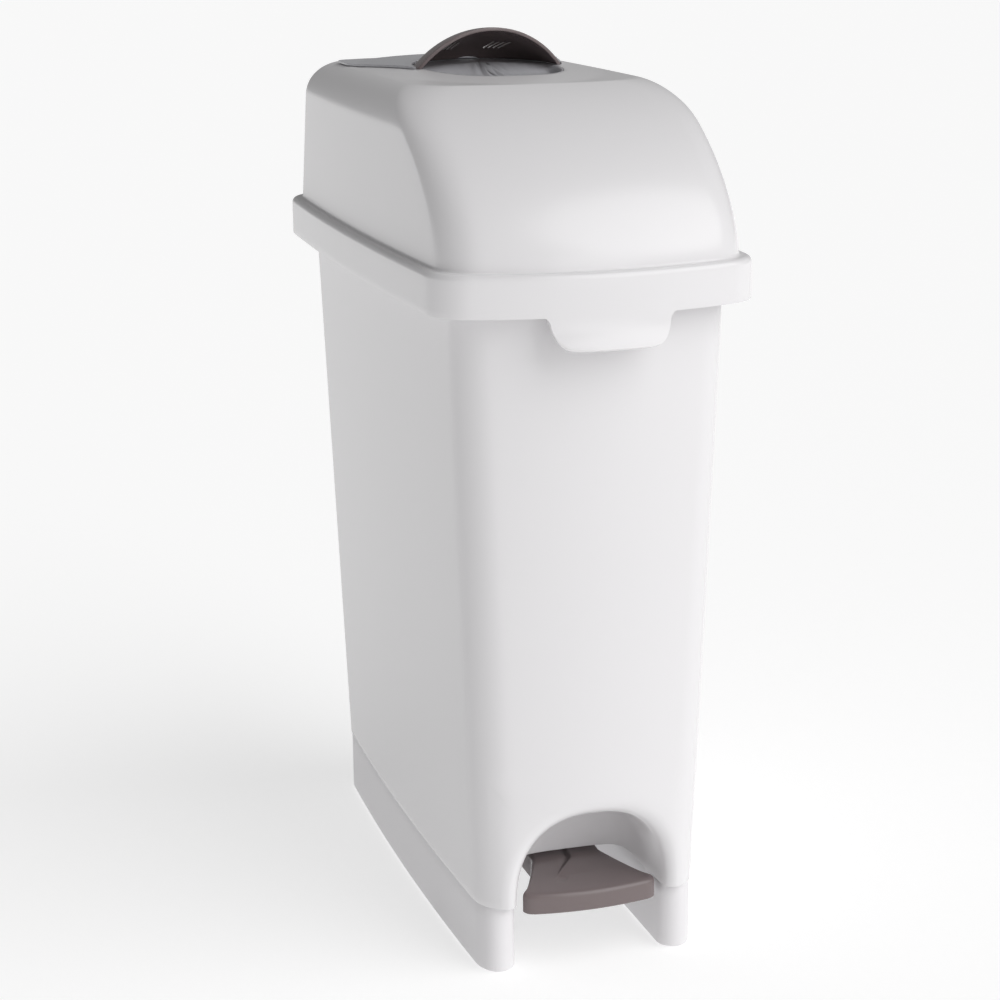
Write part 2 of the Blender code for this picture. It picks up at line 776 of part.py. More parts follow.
def build_frame_knuckle(bm, low, high):
    build_x_cylinder(bm, (HINGE_Y, HINGE_Z), KNUCKLE_R, low, high)


def build_frame_web(bm, low, high):
    """The web that joins a knuckle to the frame's skirt."""
    near = GAP + 0.6
    plan = [(x, rear_y(x, BODY_TOP) + near) for x in (low, high)] + [(high, HINGE_Y), (low, HINGE_Y)]
    add_prism(bm, plan, HINGE_Z - KNUCKLE_R + 1.0, HINGE_Z + KNUCKLE_R)


def make_rim_frame():
    frame = solid("rim_frame", (WHITE, 0.4), build_frame_clip)
    combine(frame, cutter("rim_flange", build_frame_flange), "UNION")
    for i, span in enumerate(knuckle_spans()):
        combine(frame, cutter(f"rim_web_{i}", build_frame_web, *span), "UNION")
        combine(frame, cutter(f"rim_knuckle_{i}", build_frame_knuckle, *span), "UNION")
    bore = HINGE_PIN_R + HINGE_CLEARANCE
    pin_bore = cutter("rim_pin_bore", build_x_cylinder, (HINGE_Y, HINGE_Z), bore, -90.0, 90.0)
    combine(frame, pin_bore, "DIFFERENCE")


def make_hinge_pins():
    half = LID_KNUCKLE / 2 + FRAME_KNUCKLE
    for side, name in ((-1, "left"), (1, "right")):
        middle = side * HINGE_STATION
        span = (middle - half - GAP, middle + half + GAP)
        place = (HINGE_Y, HINGE_Z)
        solid(f"hinge_pin_{name}", (STEEL, 0.3, 1.0), build_x_cylinder, place, HINGE_PIN_R, *span)


def ledge_under():
    """The height just below the inside of the lid's ledge."""
    return BAND_TOP - LID_WALL - 2 * GAP


def build_hinge_arm(bm, middle):
    """A lug under the lid's ledge that ends in the lid's knuckle."""
    front, back = LUG_FRONT, HINGE_Y + KNUCKLE_R
    low, high = middle - LID_KNUCKLE / 2, middle + LID_KNUCKLE / 2
    turn = [math.pi * i / 10 for i in range(11)]
    foot = [(HINGE_Y - KNUCKLE_R * math.cos(a), HINGE_Z - KNUCKLE_R * math.sin(a)) for a in turn]
    foot = [p for p in foot if p[0] >= front]
    profile = [(front, ledge_under()), (front, HINGE_Z - 3.0), *foot, (back - 0.4, ledge_under())]
    add_prism(bm, profile, low, high, "X")


def make_hinge_arms():
    for side, name in ((-1, "left"), (1, "right")):
        arm = solid(f"lid_hinge_lug_{name}", (WHITE, 0.4), build_hinge_arm, side * HINGE_STATION)
        combine(arm, bpy.data.objects["rim_pin_bore"], "DIFFERENCE")


def buffer_places():
    """Buffers stand on the flange near the two front corners, on the line under the lid's ledge."""
    loop = outline(*(v + BUFFER_OUT for v in body_size(FLANGE_Z)), CORNER_R + BUFFER_OUT)
    x, y = loop[len(FRONT_FRACTIONS) - 3]
    return {"left": (-x, y), "right": (x, y)}


def make_lid_buffers():
    low = FLANGE_Z + FLANGE_THICK + GAP
    for name, centre in buffer_places().items():
        ring = circle(centre, BUFFER_R, 16)
        solid(f"lid_buffer_{name}", (RUBBER, 0.7), add_prism, ring, low, ledge_under())


def make_foot_pads():
    names = ("front_left", "back_left", "front_right", "back_right")
    for name, centre in zip(names, pad_places()):
        top = BASE_BOTTOM + PAD_SINK - GAP
        solid(f"foot_pad_{name}", (RUBBER, 0.75), add_prism, circle(centre, PAD_R), 0.0, top)


# ---------------------------------------------------------------- deck, rod guides and channel


def build_deck_plate(bm):
    rings = []
    for z in (DECK_TOP - DECK_THICKNESS, DECK_TOP):
        w, f, b = body_size(z)
        rings.append(raised(outline(w, f - DECK_SETBACK, b, CORNER_R - 2.0, BODY_WALL + 1.5), z))
    add_loft(bm, rings)


def build_deck_slot(bm):
    half = CHANNEL_HALF - 2.0
    add_box(bm, (-half, ROD_Y - 6.0, STEP_Z), (half, ROD_Y + 40.0, DECK_TOP + 5.0))


def make_mechanism_cover():
    cover = solid("mechanism_cover", (WHITE, 0.5), build_deck_plate)
    skirt = cutter("cover_skirt", build_collar, STEP_Z + COLLAR_HEIGHT + GAP, DECK_TOP - 1.0, COVER_FRONT)
    combine(cover, skirt, "UNION")
    combine(cover, cutter("rod_slot", build_deck_slot), "DIFFERENCE")


def rear_inner(z):
    """The y of the shell's rear inner face, less a gap."""
    return body_size(z)[2] - BODY_WALL - 2 * GAP


def build_rod_guide(bm, low, high, half_width, front):
    back = rear_inner(low)
    add_box(bm, (-half_width, front, low), (half_width, back, high))


def build_rod_bore(bm):
    add_prism(bm, circle((0.0, ROD_Y), ROD_R + BORE_CLEARANCE), STEP_Z, LID_BOTTOM)


def make_rod_guides():
    bore = cutter("rod_bore", build_rod_bore)
    low = DECK_TOP + GAP
    guides = (("rod_guide_lower", low, low + GUIDE_HEIGHT),)
    guides += (("rod_guide_upper", GUIDE_UPPER_Z, GUIDE_UPPER_Z + GUIDE_HEIGHT),)
    for name, bottom, top in guides:
        guide = solid(name, (TAUPE, 0.5), build_rod_guide, bottom, top, CHANNEL_HALF, ROD_Y - GUIDE_FRONT)
        combine(guide, bore, "DIFFERENCE")


def build_rod_channel(bm):
    """A U-shaped cover that keeps the bag off the rod, open towards the rear wall."""
    bottom, top = DECK_TOP + 2 * GAP + GUIDE_HEIGHT, GUIDE_UPPER_Z - GAP
    rings = []
    for z in (bottom, top):
        back, front = rear_inner(z), ROD_Y - GUIDE_FRONT
        h, t = CHANNEL_HALF, CHANNEL_WALL
        rings.append([
            (-h, back, z), (-h, front, z), (h, front, z), (h, back, z),
            (h - t, back, z), (h - t, front + t, z), (t - h, front + t, z), (t - h, back, z),
        ])
    add_loft(bm, rings)


def make_rod_channel():
    solid("rod_channel", (WHITE, 0.5), build_rod_channel)


# ---------------------------------------------------------------- pedal


def tread_outline(inset=0.0):
    """Bowed front edge, rounded front corners, concave sides that run back under the niche."""
    half, corner = TREAD_HALF - inset, TREAD_CORNER
    bow_sag = TREAD_BOW_R - math.sqrt(TREAD_BOW_R**2 - half**2)
    front = TREAD_FRONT + inset
    right = []
    for share in (0.0, 0.25, 0.5, 0.75, 0.92):
        x = (half - corner) * share / 0.92
        right.append((x, front + TREAD_BOW_R - math.sqrt(TREAD_BOW_R**2 - x * x)))
    for a in (30, 60, 90):
        t = math.radians(a)
        centre_y = front + bow_sag + corner - 1.0
        right.append((half - corner + corner * math.sin(t), centre_y - corner * math.cos(t)))
    start = right[-1][1]
    for share in (0.12, 0.28, 0.46, 0.7, 1.0):
        y = start + (TREAD_BACK - inset - start) * share
        narrow = (TREAD_HALF - TREAD_WAIST) * min(1.0, 1.7 * share) ** 0.8
        right.append((half - narrow, y))
    return right + [(-x, y) for x, y in right[:0:-1]]


def tread_top(y):
    return TREAD_TOP + TREAD_RISE * (y - TREAD_FRONT) / (TREAD_BACK - TREAD_FRONT)


def build_tread(bm):
    outer, inner = tread_outline(), tread_outline(TREAD_WALL)
    edge = tread_outline(TREAD_ROUND * 0.3)
    top = tread_outline(TREAD_ROUND)
    ceiling = LEVER_TOP + GAP
    rings = [
        raised(inner, ceiling),
        raised(inner, TREAD_LIP + 1.0),
        raised(outer, TREAD_LIP),
        [(x, y, tread_top(y) - TREAD_ROUND) for x, y in outer],
        [(x, y, tread_top(y) - TREAD_ROUND * 0.3) for x, y in edge],
        [(x, y, tread_top(y)) for x, y in top],
    ]
    add_loft(bm, rings)


def build_lever_bar(bm):
    low = (-LEVER_HALF_WIDTH, LEVER_FRONT, LEVER_TOP - LEVER_THICKNESS)
    add_box(bm, low, (LEVER_HALF_WIDTH, LEVER_BACK, LEVER_TOP))


def build_screw_holes(bm, places, radius, low, high):
    for place in places:
        add_prism(bm, circle(place, radius, 16), low, high)


def tread_screw_places():
    return [(0.0, TREAD_BACK - 18.0), (0.0, TREAD_BACK - 46.0)]


def screw_levels(shank):
    """Height and radius along a pan-head screw, from the top of its head to its tip."""
    return [(-2.2, 1.6), (-1.8, 2.6), (-0.8, 3.2), (0.0, 3.2), (0.0, 1.5), (shank, 1.5)]


def build_screw(bm, place, seat, shank):
    """A screw that points up from its seat."""
    add_loft(bm, [raised(circle(place, radius, 16), seat + offset) for offset, radius in screw_levels(shank)])


def make_pedal():
    tread = solid("pedal_tread", (TAUPE, 0.3), build_tread)
    span = (LEVER_TOP - 2.0, LEVER_TOP + 4.0)
    holes = cutter("tread_holes", build_screw_holes, tread_screw_places(), 1.8, *span)
    combine(tread, holes, "DIFFERENCE")
    way = LEVER_HALF_WIDTH + GAP
    low, high = (-way, TREAD_BACK - 8.0, TREAD_LIP - 10.0), (way, TREAD_BACK + 8.0, LEVER_TOP + GAP)
    combine(tread, cutter("tread_notch", add_box, low, high), "DIFFERENCE")
    lever = solid("pedal_lever", (STEEL, 0.4, 1.0), build_lever_bar)
    hub = cutter("lever_hub", build_x_cylinder, (AXLE_Y, AXLE_HEIGHT), HUB_R, -HUB_HALF, HUB_HALF)
    combine(lever, hub, "UNION")
    bore = cutter("lever_bore", build_x_cylinder, (AXLE_Y, AXLE_HEIGHT), AXLE_R + BORE_CLEARANCE, -40.0, 40.0)
    combine(lever, bore, "DIFFERENCE")
    span = (LEVER_TOP - 10.0, LEVER_TOP + 10.0)
    holes = cutter("lever_holes", build_screw_holes, tread_screw_places(), 1.8, *span)
    combine(lever, holes, "DIFFERENCE")
    seat = LEVER_TOP - LEVER_THICKNESS - GAP
    for place, name in zip(tread_screw_places(), ("back", "front")):
        solid(f"tread_screw_{name}", (STEEL, 0.3, 1.0), build_screw, place, seat, LEVER_THICKNESS + 3.5)


def make_axle():
    centre = (AXLE_Y, AXLE_HEIGHT)
    end = LEG_GAP_HALF + BASE_WALL + CAP_LENGTH
    solid("pedal_axle", (STEEL, 0.3, 1.0), build_x_cylinder, centre, AXLE_R, -end, end)
    inner, outer = AXLE_R + BORE_CLEARANCE, HUB_R - 1.0
    near, far = HUB_HALF + GAP, LEG_GAP_HALF - GAP
    cap_near, cap_far = LEG_GAP_HALF + BASE_WALL + GAP, end - GAP
    for side, name in ((-1, "left"), (1, "right")):
        span = sorted((side * near, side * far))
        solid(f"axle_spacer_{name}", (WHITE, 0.5), build_x_tube, centre, inner, outer, *span)
        span = sorted((side * cap_near, side * cap_far))
        solid(f"axle_clip_{name}", (STEEL, 0.35, 1.0), build_x_tube, centre, inner, outer - 1.0, *span)


def make_lift_rod():
    foot_low = LEVER_TOP + FOOT_GAP
    rings = []
    for a in (15, 35, 55, 75, 90):
        t = math.radians(a)
        rings.append((foot_low + FOOT_R * (1 - math.cos(t)), FOOT_R * math.sin(t)))
    rings.append((foot_low + FOOT_LENGTH, FOOT_R))
    foot = solid(
        "rod_foot",
        (TAUPE, 0.5),
        lambda bm: add_loft(bm, [raised(circle((0.0, ROD_Y), radius), z) for z, radius in rings]),
    )
    socket = foot_low + FOOT_LENGTH - 8.0
    combine(
        foot,
        cutter("foot_socket", add_prism, circle((0.0, ROD_Y), ROD_R + GAP), socket, socket + 20.0),
        "DIFFERENCE",
    )
    rod_top = CRANK_PIN_Z - YOKE_BELOW + YOKE_SOCKET
    rod_low = socket + GAP
    solid("lift_rod", (STEEL, 0.3, 1.0), add_prism, circle((0.0, ROD_Y), ROD_R), rod_low, rod_top - GAP)
    yoke = solid("rod_yoke", (TAUPE, 0.5), build_yoke)
    neck = (CRANK_PIN_Z - YOKE_BELOW, CRANK_PIN_Z - CRANK_PIN_R - SLOT_CLEARANCE - YOKE_RIM + 1.0)
    combine(yoke, cutter("yoke_neck", add_prism, circle((0.0, ROD_Y), ROD_R + 2.6), *neck), "UNION")
    combine(yoke, cutter("yoke_slot", build_yoke_slot), "DIFFERENCE")
    combine(
        yoke,
        cutter("yoke_socket", add_prism, circle((0.0, ROD_Y), ROD_R + GAP), rod_top - 30.0, rod_top),
        "DIFFERENCE",
    )


def slot_ends():
    """The y of the pin's centre at the ends of its travel in the yoke's slot."""
    return HINGE_Y - CRANK_R, ROD_Y


def build_yoke(bm):
    front, back = slot_ends()
    wall = CRANK_PIN_R + SLOT_CLEARANCE + YOKE_RIM
    mid_low, top = CRANK_PIN_Z - wall, CRANK_PIN_Z + wall
    plate = [(front - wall + 2, mid_low), (back + wall - 2, mid_low), (back + wall, mid_low + 2)]
    plate += [(back + wall, top - 2), (back + wall - 2, top), (front - wall + 2, top)]
    plate += [(front - wall, top - 2), (front - wall, mid_low + 2)]
    add_prism(bm, plate, -YOKE_HALF, YOKE_HALF, axis="X")


def build_yoke_slot(bm):
    front, back = slot_ends()
    r = CRANK_PIN_R + SLOT_CLEARANCE
    arc_back = [(back + r * math.cos(a), CRANK_PIN_Z + r * math.sin(a)) for a in quarter_turns(-90)]
    arc_front = [(front + r * math.cos(a), CRANK_PIN_Z + r * math.sin(a)) for a in quarter_turns(90)]
    add_prism(bm, arc_back + arc_front, -20.0, 20.0, axis="X")


def quarter_turns(start):
    return [math.radians(start + 22.5 * i) for i in range(9)]


# ---------------------------------------------------------------- crank on the lid


def lid_rear_inner(z):
    return dome_size(z)[2] - LID_WALL - GAP


def build_crank(bm):
    """A back plate on the lid's rear wall and two ears that reach forward and down to the crank pin."""
    low, high = CREASE + 2.0, CREASE + 34.0
    t = CRANK_PLATE
    plate = [(lid_rear_inner(low), low), (lid_rear_inner(high), high)]
    plate += [(lid_rear_inner(high) - t, high), (lid_rear_inner(low) - t, low)]
    add_prism(bm, plate, -CRANK_HALF, CRANK_HALF, axis="X")


def build_crank_ears(bm):
    low, high = CREASE + 2.0, CREASE + 34.0
    inside = CRANK_PLATE / 2
    r = CRANK_EAR_R
    turn = [math.radians(-a) for a in range(0, 181, 30)]
    foot = [(ROD_Y + r * math.cos(a), CRANK_PIN_Z + r * math.sin(a)) for a in turn]
    ear = [(lid_rear_inner(high) - inside, high), (lid_rear_inner(low) - inside, low), (ROD_Y + r, low)]
    ear += foot + [(ROD_Y - r, low + 3.0)]
    near = YOKE_HALF + 1.0
    for side in (-1, 1):
        span = sorted((side * near, side * (near + CRANK_EAR)))
        add_prism(bm, ear, *span, axis="X")


def crank_screw_places():
    return [(side * (CRANK_HALF - 4.0), CREASE + 18.0) for side in (-1, 1)]


def build_y_screw(bm, place, seat, shank):
    """A screw that points back from its seat."""
    levels = screw_levels(shank)
    rings = [[(px, seat + offset, pz) for px, pz in circle(place, radius, 16)] for offset, radius in levels]
    add_loft(bm, rings)


def build_y_holes(bm, places, radius, low, high):
    for x, z in places:
        add_loft(bm, [[(px, y, pz) for px, pz in circle((x, z), radius, 16)] for y in (low, high)])


def make_crank():
    crank = solid("lid_crank", (TAUPE, 0.45), build_crank)
    combine(crank, cutter("crank_ears", build_crank_ears), "UNION")
    pin = (ROD_Y, CRANK_PIN_Z)
    bore = cutter("crank_pin_bore", build_x_cylinder, pin, CRANK_PIN_R + GAP, -30.0, 30.0)
    combine(crank, bore, "DIFFERENCE")
    seat = lid_rear_inner(CREASE + 18.0) - CRANK_PLATE - GAP - 0.4
    holes = cutter("crank_holes", build_y_holes, crank_screw_places(), 1.8, seat - 10.0, seat + 8.0)
    combine(crank, holes, "DIFFERENCE")
    for place, name in zip(crank_screw_places(), ("left", "right")):
        solid(f"crank_screw_{name}", (STEEL, 0.3, 1.0), build_y_screw, place, seat, CRANK_PLATE + 0.2)
    solid("crank_pin", (STEEL, 0.3, 1.0), build_crank_pin)


def build_crank_pin(bm):
    half = YOKE_HALF + 1.0 + CRANK_EAR + GAP
    levels = [(-half - 1.5, 3.8), (-half, 3.8), (-half, CRANK_PIN_R), (half + 1.5, CRANK_PIN_R)]
    add_loft(bm, [[(x, *p) for p in circle((ROD_Y, CRANK_PIN_Z), radius)] for x, radius in levels])


# ---------------------------------------------------------------- scent cover


def build_plate(bm):
    """A dished plate: a finger recess in front, flat under the hood, and a skirt that fills the opening."""
    ways = crown_ways()
    top = [(x, y, crown_height(x, y)) for x, y in opening_loop(ways, -GAP * 2)]
    inner_top = [(x, y, plate_height(x, y)) for x, y in opening_loop(ways, -6.0)]
    middle = [(x, y, plate_height(x, y)) for x, y in opening_loop(ways, -22.0)]
    under = [(x, y, z - PLATE_THICKNESS) for x, y, z in middle]
    under_outer = [(x, y, plate_height(x, y) - PLATE_THICKNESS) for x, y in opening_loop(ways, -8.0)]
    skirt = [(x, y, z - SKIRT_DEPTH) for x, y, z in top]
    skirt_in = [(x, y, crown_height(x, y) - SKIRT_DEPTH) for x, y in opening_loop(ways, -GAP * 2 - 1.8)]
    add_loft(bm, [under, under_outer, skirt_in, skirt, top, inner_top, middle])


def add_sheet(bm, columns, front, back, low, high):
    """A slab that follows the crown, between a front and a back edge given at each x."""
    rings = []
    for x in columns:
        ys = [front(x) + (back(x) - front(x)) * i / 5 for i in range(6)]
        upper = [(x, y, crown_height(x, y) + high) for y in ys]
        rings.append(upper + [(x, y, crown_height(x, y) + low) for y in ys[::-1]])
    add_loft(bm, rings)


def mirrored(shares, reach):
    """Stations across the bin, the same on both sides."""
    return [-reach * s for s in shares[::-1]] + [0.0] + [reach * s for s in shares]


def apron_front(x):
    """The apron's front edge: round the back of the hood, then flared back to the apron's corners."""
    near = HOOD_HALF_WIDTH + APRON_GAP
    if abs(x) <= near:
        share = (abs(x) / near) ** (2 / 0.7)
        return HOOD_FRONT + (HOOD_LENGTH + APRON_GAP) * math.sqrt(1 - share)
    return HOOD_FRONT + (APRON_FLARE_Y - HOOD_FRONT) * (abs(x) - near) / (APRON_HALF_WIDTH - near)


def apron_back(x):
    over = max(abs(x) - APRON_HALF_WIDTH + APRON_CORNER, 0.0)
    return APRON_BACK - APRON_CORNER + math.sqrt(APRON_CORNER**2 - over * over)


def build_apron(bm):
    """The thin apron round the hood's back, which lies on the crown."""
    near = (HOOD_HALF_WIDTH + APRON_GAP) / APRON_HALF_WIDTH
    shares = [near * s for s in (0.3, 0.55, 0.75, 0.88, 0.96, 1.0)]
    shares += [near + (1 - near) * s for s in (0.15, 0.4, 0.7, 0.9, 1.0)]
    low = HOOD_SEAT
    add_sheet(bm, mirrored(shares, APRON_HALF_WIDTH), apron_front, apron_back, low, low + APRON_THICKNESS)


def build_apron_plug(bm):
    """What joins the apron to the plate, inside the crown's opening."""
    middle = APRON_THICKNESS / 2
    columns = mirrored((0.5, 1.0), PLUG_HALF_WIDTH)
    add_sheet(bm, columns, lambda x: PLUG_FRONT, lambda x: PLUG_BACK, -middle - 0.4, middle)


def plate_height(x, y):
    """Level with the crown behind the hood's mouth, sunk in the finger recess in front of it."""
    sink = min(max((HOOD_FRONT + 12.0 - y) / 20.0, 0.0), 1.0)
    return crown_height(x, y) - 0.3 - RECESS_DEPTH * sink * sink * (3 - 2 * sink)


def hood_arch(x):
    """The height of the hood's mouth at x: a segment of a circle."""
    radius = (HOOD_HALF_WIDTH**2 + HOOD_HEIGHT**2) / (2 * HOOD_HEIGHT)
    return math.sqrt(radius**2 - x * x) - radius + HOOD_HEIGHT


def build_hood_skin(bm):
    """A low dome, open at the front, standing on the plate."""
    rings = []
    for j in range(7):
        v = math.radians(90 * j / 6.4)
        ring = []
        for i in range(17):
            u = math.pi * i / 16
            x = HOOD_HALF_WIDTH * math.cos(u) * math.cos(v) ** 0.7
            y = HOOD_FRONT + HOOD_LENGTH * math.sin(v) - HOOD_NOD * math.sin(u) * math.cos(v)
            z = hood_arch(HOOD_HALF_WIDTH * math.cos(u)) * math.cos(v)
            ring.append((x, y, crown_height(x, max(y, HOOD_FRONT)) + HOOD_SEAT + z))
        rings.append(ring)
    add_loft(bm, rings, cap_ends=False, closed=False)


def build_crown_block(bm):
    """The space under the crown's surface, which trims the hood's lower edge just above it."""
    columns = [-1.2 * HOOD_HALF_WIDTH + 2.4 * HOOD_HALF_WIDTH * i / 12 for i in range(13)]
    rows = []
    for j in range(11):
        y = HOOD_FRONT - 20.0 + (HOOD_LENGTH + 40.0) * j / 10
        upper = [(x, y, crown_height(x, y) + HOOD_SEAT) for x in columns]
        lower = [(x, y, BAND_TOP) for x in columns[::-1]]
        rows.append(upper + lower)
    add_loft(bm, rows)


def make_scent_cover():
    plate = solid("cover_plate", (PALE_GREY, 0.35), build_plate)
    combine(plate, cutter("apron", build_apron), "UNION")
    combine(plate, cutter("apron_plug", build_apron_plug), "UNION")
    hood = outward_skin("grip_hood", build_hood_skin, HOOD_WALL, (TAUPE, 0.3))
    combine(hood, cutter("hood_foot", build_crown_block), "DIFFERENCE")
    low = crown_height(0.0, TRAY_Y) - SKIRT_DEPTH - TRAY_DEPTH
    solid("scent_tray", (WHITE, 0.5), build_tray, low)
    solid("scent_block", (GEL, 0.4), build_block, low + TRAY_WALL + GAP)


def tray_loop(inset, z):
    a, b, r = TRAY_HALF_X - inset, TRAY_HALF_Y - inset, max(8.0 - inset, 2.0)
    corners = [(a - r, b - r, 0), (r - a, b - r, 90), (r - a, r - b, 180), (a - r, r - b, 270)]
    points = []
    for cx, cy, start in corners:
        angles = [math.radians(start + turn) for turn in (0, 30, 60, 90)]
        points += [(cx + r * math.cos(angle), TRAY_Y + cy + r * math.sin(angle), z) for angle in angles]
    return points


def build_tray(bm, low):
    top = low + TRAY_DEPTH
    rings = [tray_loop(0, low), tray_loop(0, top)]
    add_loft(bm, rings + [tray_loop(TRAY_WALL, top), tray_loop(TRAY_WALL, low + TRAY_WALL)])


def build_block(bm, low):
    inset = TRAY_WALL + 1.0
    top = low + TRAY_DEPTH - TRAY_WALL - 4.0
    add_loft(bm, [tray_loop(inset, low), tray_loop(inset, top - 1.5), tray_loop(inset + 1.5, top)])


# ---------------------------------------------------------------- liner and bail


def liner_loop(z, inset=0.0, grow=0.0):
    """The liner's plan: a clearance inside the shell, with its back in front of the lift rod."""
    w, f, _ = body_size(z)
    taper = LINER_TAPER * (LINER_TOP - z) / (LINER_TOP - DECK_TOP)
    space = BODY_WALL + LINER_CLEARANCE + taper
    rear = LINER_REAR - taper
    return raised(outline(w - space + grow, f - space + grow, rear + grow, LINER_CORNER, inset), z)


def build_liner(bm):
    low = DECK_TOP + GAP
    rim = LINER_TOP - LINER_RIM
    rings = [
        liner_loop(low + LINER_WALL, LINER_WALL),
        liner_loop(LINER_TOP, LINER_WALL),
        liner_loop(LINER_TOP, 0.0, LINER_LIP),
        liner_loop(rim, 0.0, LINER_LIP),
        liner_loop(rim, 0.0),
        liner_loop(low + 6.0, 0.0),
        liner_loop(low, 5.0),
    ]
    add_loft(bm, rings)


def bail_centre_z():
    return LINER_TOP + BAIL_WIRE_R + GAP


def bail_points(start, end, count, radius):
    turns = [math.radians(start + (end - start) * i / count) for i in range(count + 1)]
    return [Vector((radius * math.cos(t), -radius * math.sin(t), bail_centre_z())) for t in turns]


def add_tube(bm, centres, radius, sides=10):
    """A round bar along a flat path, with its cross-sections square to the path."""
    rings = []
    for i, centre in enumerate(centres):
        ahead = centres[min(i + 1, len(centres) - 1)]
        behind = centres[max(i - 1, 0)]
        along = (ahead - behind).normalized()
        side = along.cross(Vector((0, 0, 1))).normalized()
        turn = [2 * math.pi * k / sides for k in range(sides)]
        rings.append([centre + radius * (math.cos(a) * side + math.sin(a) * Vector((0, 0, 1))) for a in turn])
    add_loft(bm, rings)


def build_bail(bm):
    """A half-round wire."""
    add_tube(bm, bail_points(0.0, 180.0, 24, bail_reach()), BAIL_WIRE_R)


def build_bail_pivot(bm, side):
    """The turned-out end of the wire, which passes through a lug."""
    low, high = sorted((side * (bail_reach() - 0.5), side * (bail_reach() + 6.5)))
    build_x_cylinder(bm, (0.0, bail_centre_z()), BAIL_WIRE_R, low, high)


def build_bail_grip(bm):
    reach = bail_reach()
    outer, inner = BAIL_GRIP_R, BAIL_WIRE_R + GAP
    centres = bail_points(72.0, 108.0, 8, reach)
    rings = []
    for radius, path in ((outer, centres), (inner, centres[::-1])):
        for i, centre in enumerate(path):
            along = centre - Vector((0, 0, bail_centre_z()))
            across = along.normalized()
            turn = [2 * math.pi * k / 12 for k in range(12)]
            up = Vector((0, 0, 1))
            rings.append([centre + radius * (math.cos(a) * across + math.sin(a) * up) for a in turn])
    add_loft(bm, rings, wrap=True)


def bail_reach():
    return body_size(LINER_TOP)[0] - BODY_WALL - LINER_CLEARANCE - LINER_WALL - BAIL_WIRE_R - 2.0


def build_liner_lug(bm, side):
    """A lug standing on the liner's rim, beside the bail's end."""
    reach = bail_reach() + BAIL_WIRE_R + GAP
    low, high = sorted((side * reach, side * (reach + 2.4)))
    top = bail_centre_z() + 4.0
    add_box(bm, (low, -6.0, LINER_TOP - 1.0), (high, 6.0, top))


def make_liner():
    liner = solid("liner_bucket", (LINER_GREY, 0.45), build_liner)
    for side, name in ((-1, "lug_left"), (1, "lug_right")):
        combine(liner, cutter(name, build_liner_lug, side), "UNION")
    bore = cutter("lug_bore", build_x_cylinder, (0.0, bail_centre_z()), BAIL_WIRE_R + GAP, -120.0, 120.0)
    combine(liner, bore, "DIFFERENCE")
    wire = solid("bail_wire", (STEEL, 0.3, 1.0), build_bail)
    for side, name in ((-1, "pivot_left"), (1, "pivot_right")):
        combine(wire, cutter(name, build_bail_pivot, side), "UNION")
    solid("bail_grip", (TAUPE, 0.5), build_bail_grip)


def main():
    clear_scene()
    make_body_shell()
    make_base_plinth()
    make_foot_pads()
    make_rim_frame()
    make_hinge_pins()
    make_lid_buffers()
    make_mechanism_cover()
    make_rod_guides()
    make_rod_channel()
    make_axle()
    make_lid_shell()
    make_hinge_arms()
    make_crank()
    make_scent_cover()
    make_pedal()
    make_lift_rod()
    make_liner()
    hang_on_axis("lid_axis", (0.0, HINGE_Y, HINGE_Z), LID_PIECES)
    hang_on_axis("pedal_axis", (0.0, AXLE_Y, AXLE_HEIGHT), PEDAL_PIECES)
    hang_on_axis("bail_axis", (0.0, 0.0, bail_centre_z()), BAIL_PIECES)


main()
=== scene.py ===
"""Looks of a slim pedal bin: fine mouldings, small hardware, ribs and vents, procedural plastics and
metals, a plain pale studio. Sizes inside the functions are millimetres, measured from the middle of the
bin's plan outline."""

import json
import math

import bmesh
import bpy
from mathutils import Matrix, Vector


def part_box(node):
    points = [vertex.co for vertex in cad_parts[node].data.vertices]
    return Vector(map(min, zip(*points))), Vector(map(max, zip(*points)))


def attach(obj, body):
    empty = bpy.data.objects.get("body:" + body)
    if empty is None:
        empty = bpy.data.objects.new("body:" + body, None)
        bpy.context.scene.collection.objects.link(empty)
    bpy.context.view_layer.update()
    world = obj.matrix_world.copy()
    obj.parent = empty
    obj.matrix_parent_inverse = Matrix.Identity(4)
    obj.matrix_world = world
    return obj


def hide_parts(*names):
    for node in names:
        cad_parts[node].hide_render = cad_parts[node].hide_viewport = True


bl_info = {
    "name": "Pedal bin looks",
    "version": (1, 0, 0),
    "blender": (4, 5, 0),
    "location": "3D View > Sidebar > Pedal bin",
    "description": "Builds the fine shells, hardware, materials and studio of a slim pedal bin",
    "category": "Object",
}

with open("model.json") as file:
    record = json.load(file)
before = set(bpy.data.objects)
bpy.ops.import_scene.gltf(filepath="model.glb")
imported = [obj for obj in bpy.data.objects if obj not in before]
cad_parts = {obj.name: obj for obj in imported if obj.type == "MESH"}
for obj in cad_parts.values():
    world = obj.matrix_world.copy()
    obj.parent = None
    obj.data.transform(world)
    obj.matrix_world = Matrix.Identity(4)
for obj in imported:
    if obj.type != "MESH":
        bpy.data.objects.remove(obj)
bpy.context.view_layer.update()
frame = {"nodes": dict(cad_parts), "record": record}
MM = 0.001
FIT_GAP = 0.3


def box_mm(node):
    """The lowest and highest corner of a frame node, in millimetres."""
    low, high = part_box(node)
    return low / MM, high / MM


def plan_middle():
    """The y of the plan outline's middle: half way between the front and back foot pads."""
    front, back = box_mm("foot_pad_front_left"), box_mm("foot_pad_back_left")
    return (front[0].y + back[1].y) / 2


# ---------------------------------------------------------------- sizes that follow the frame

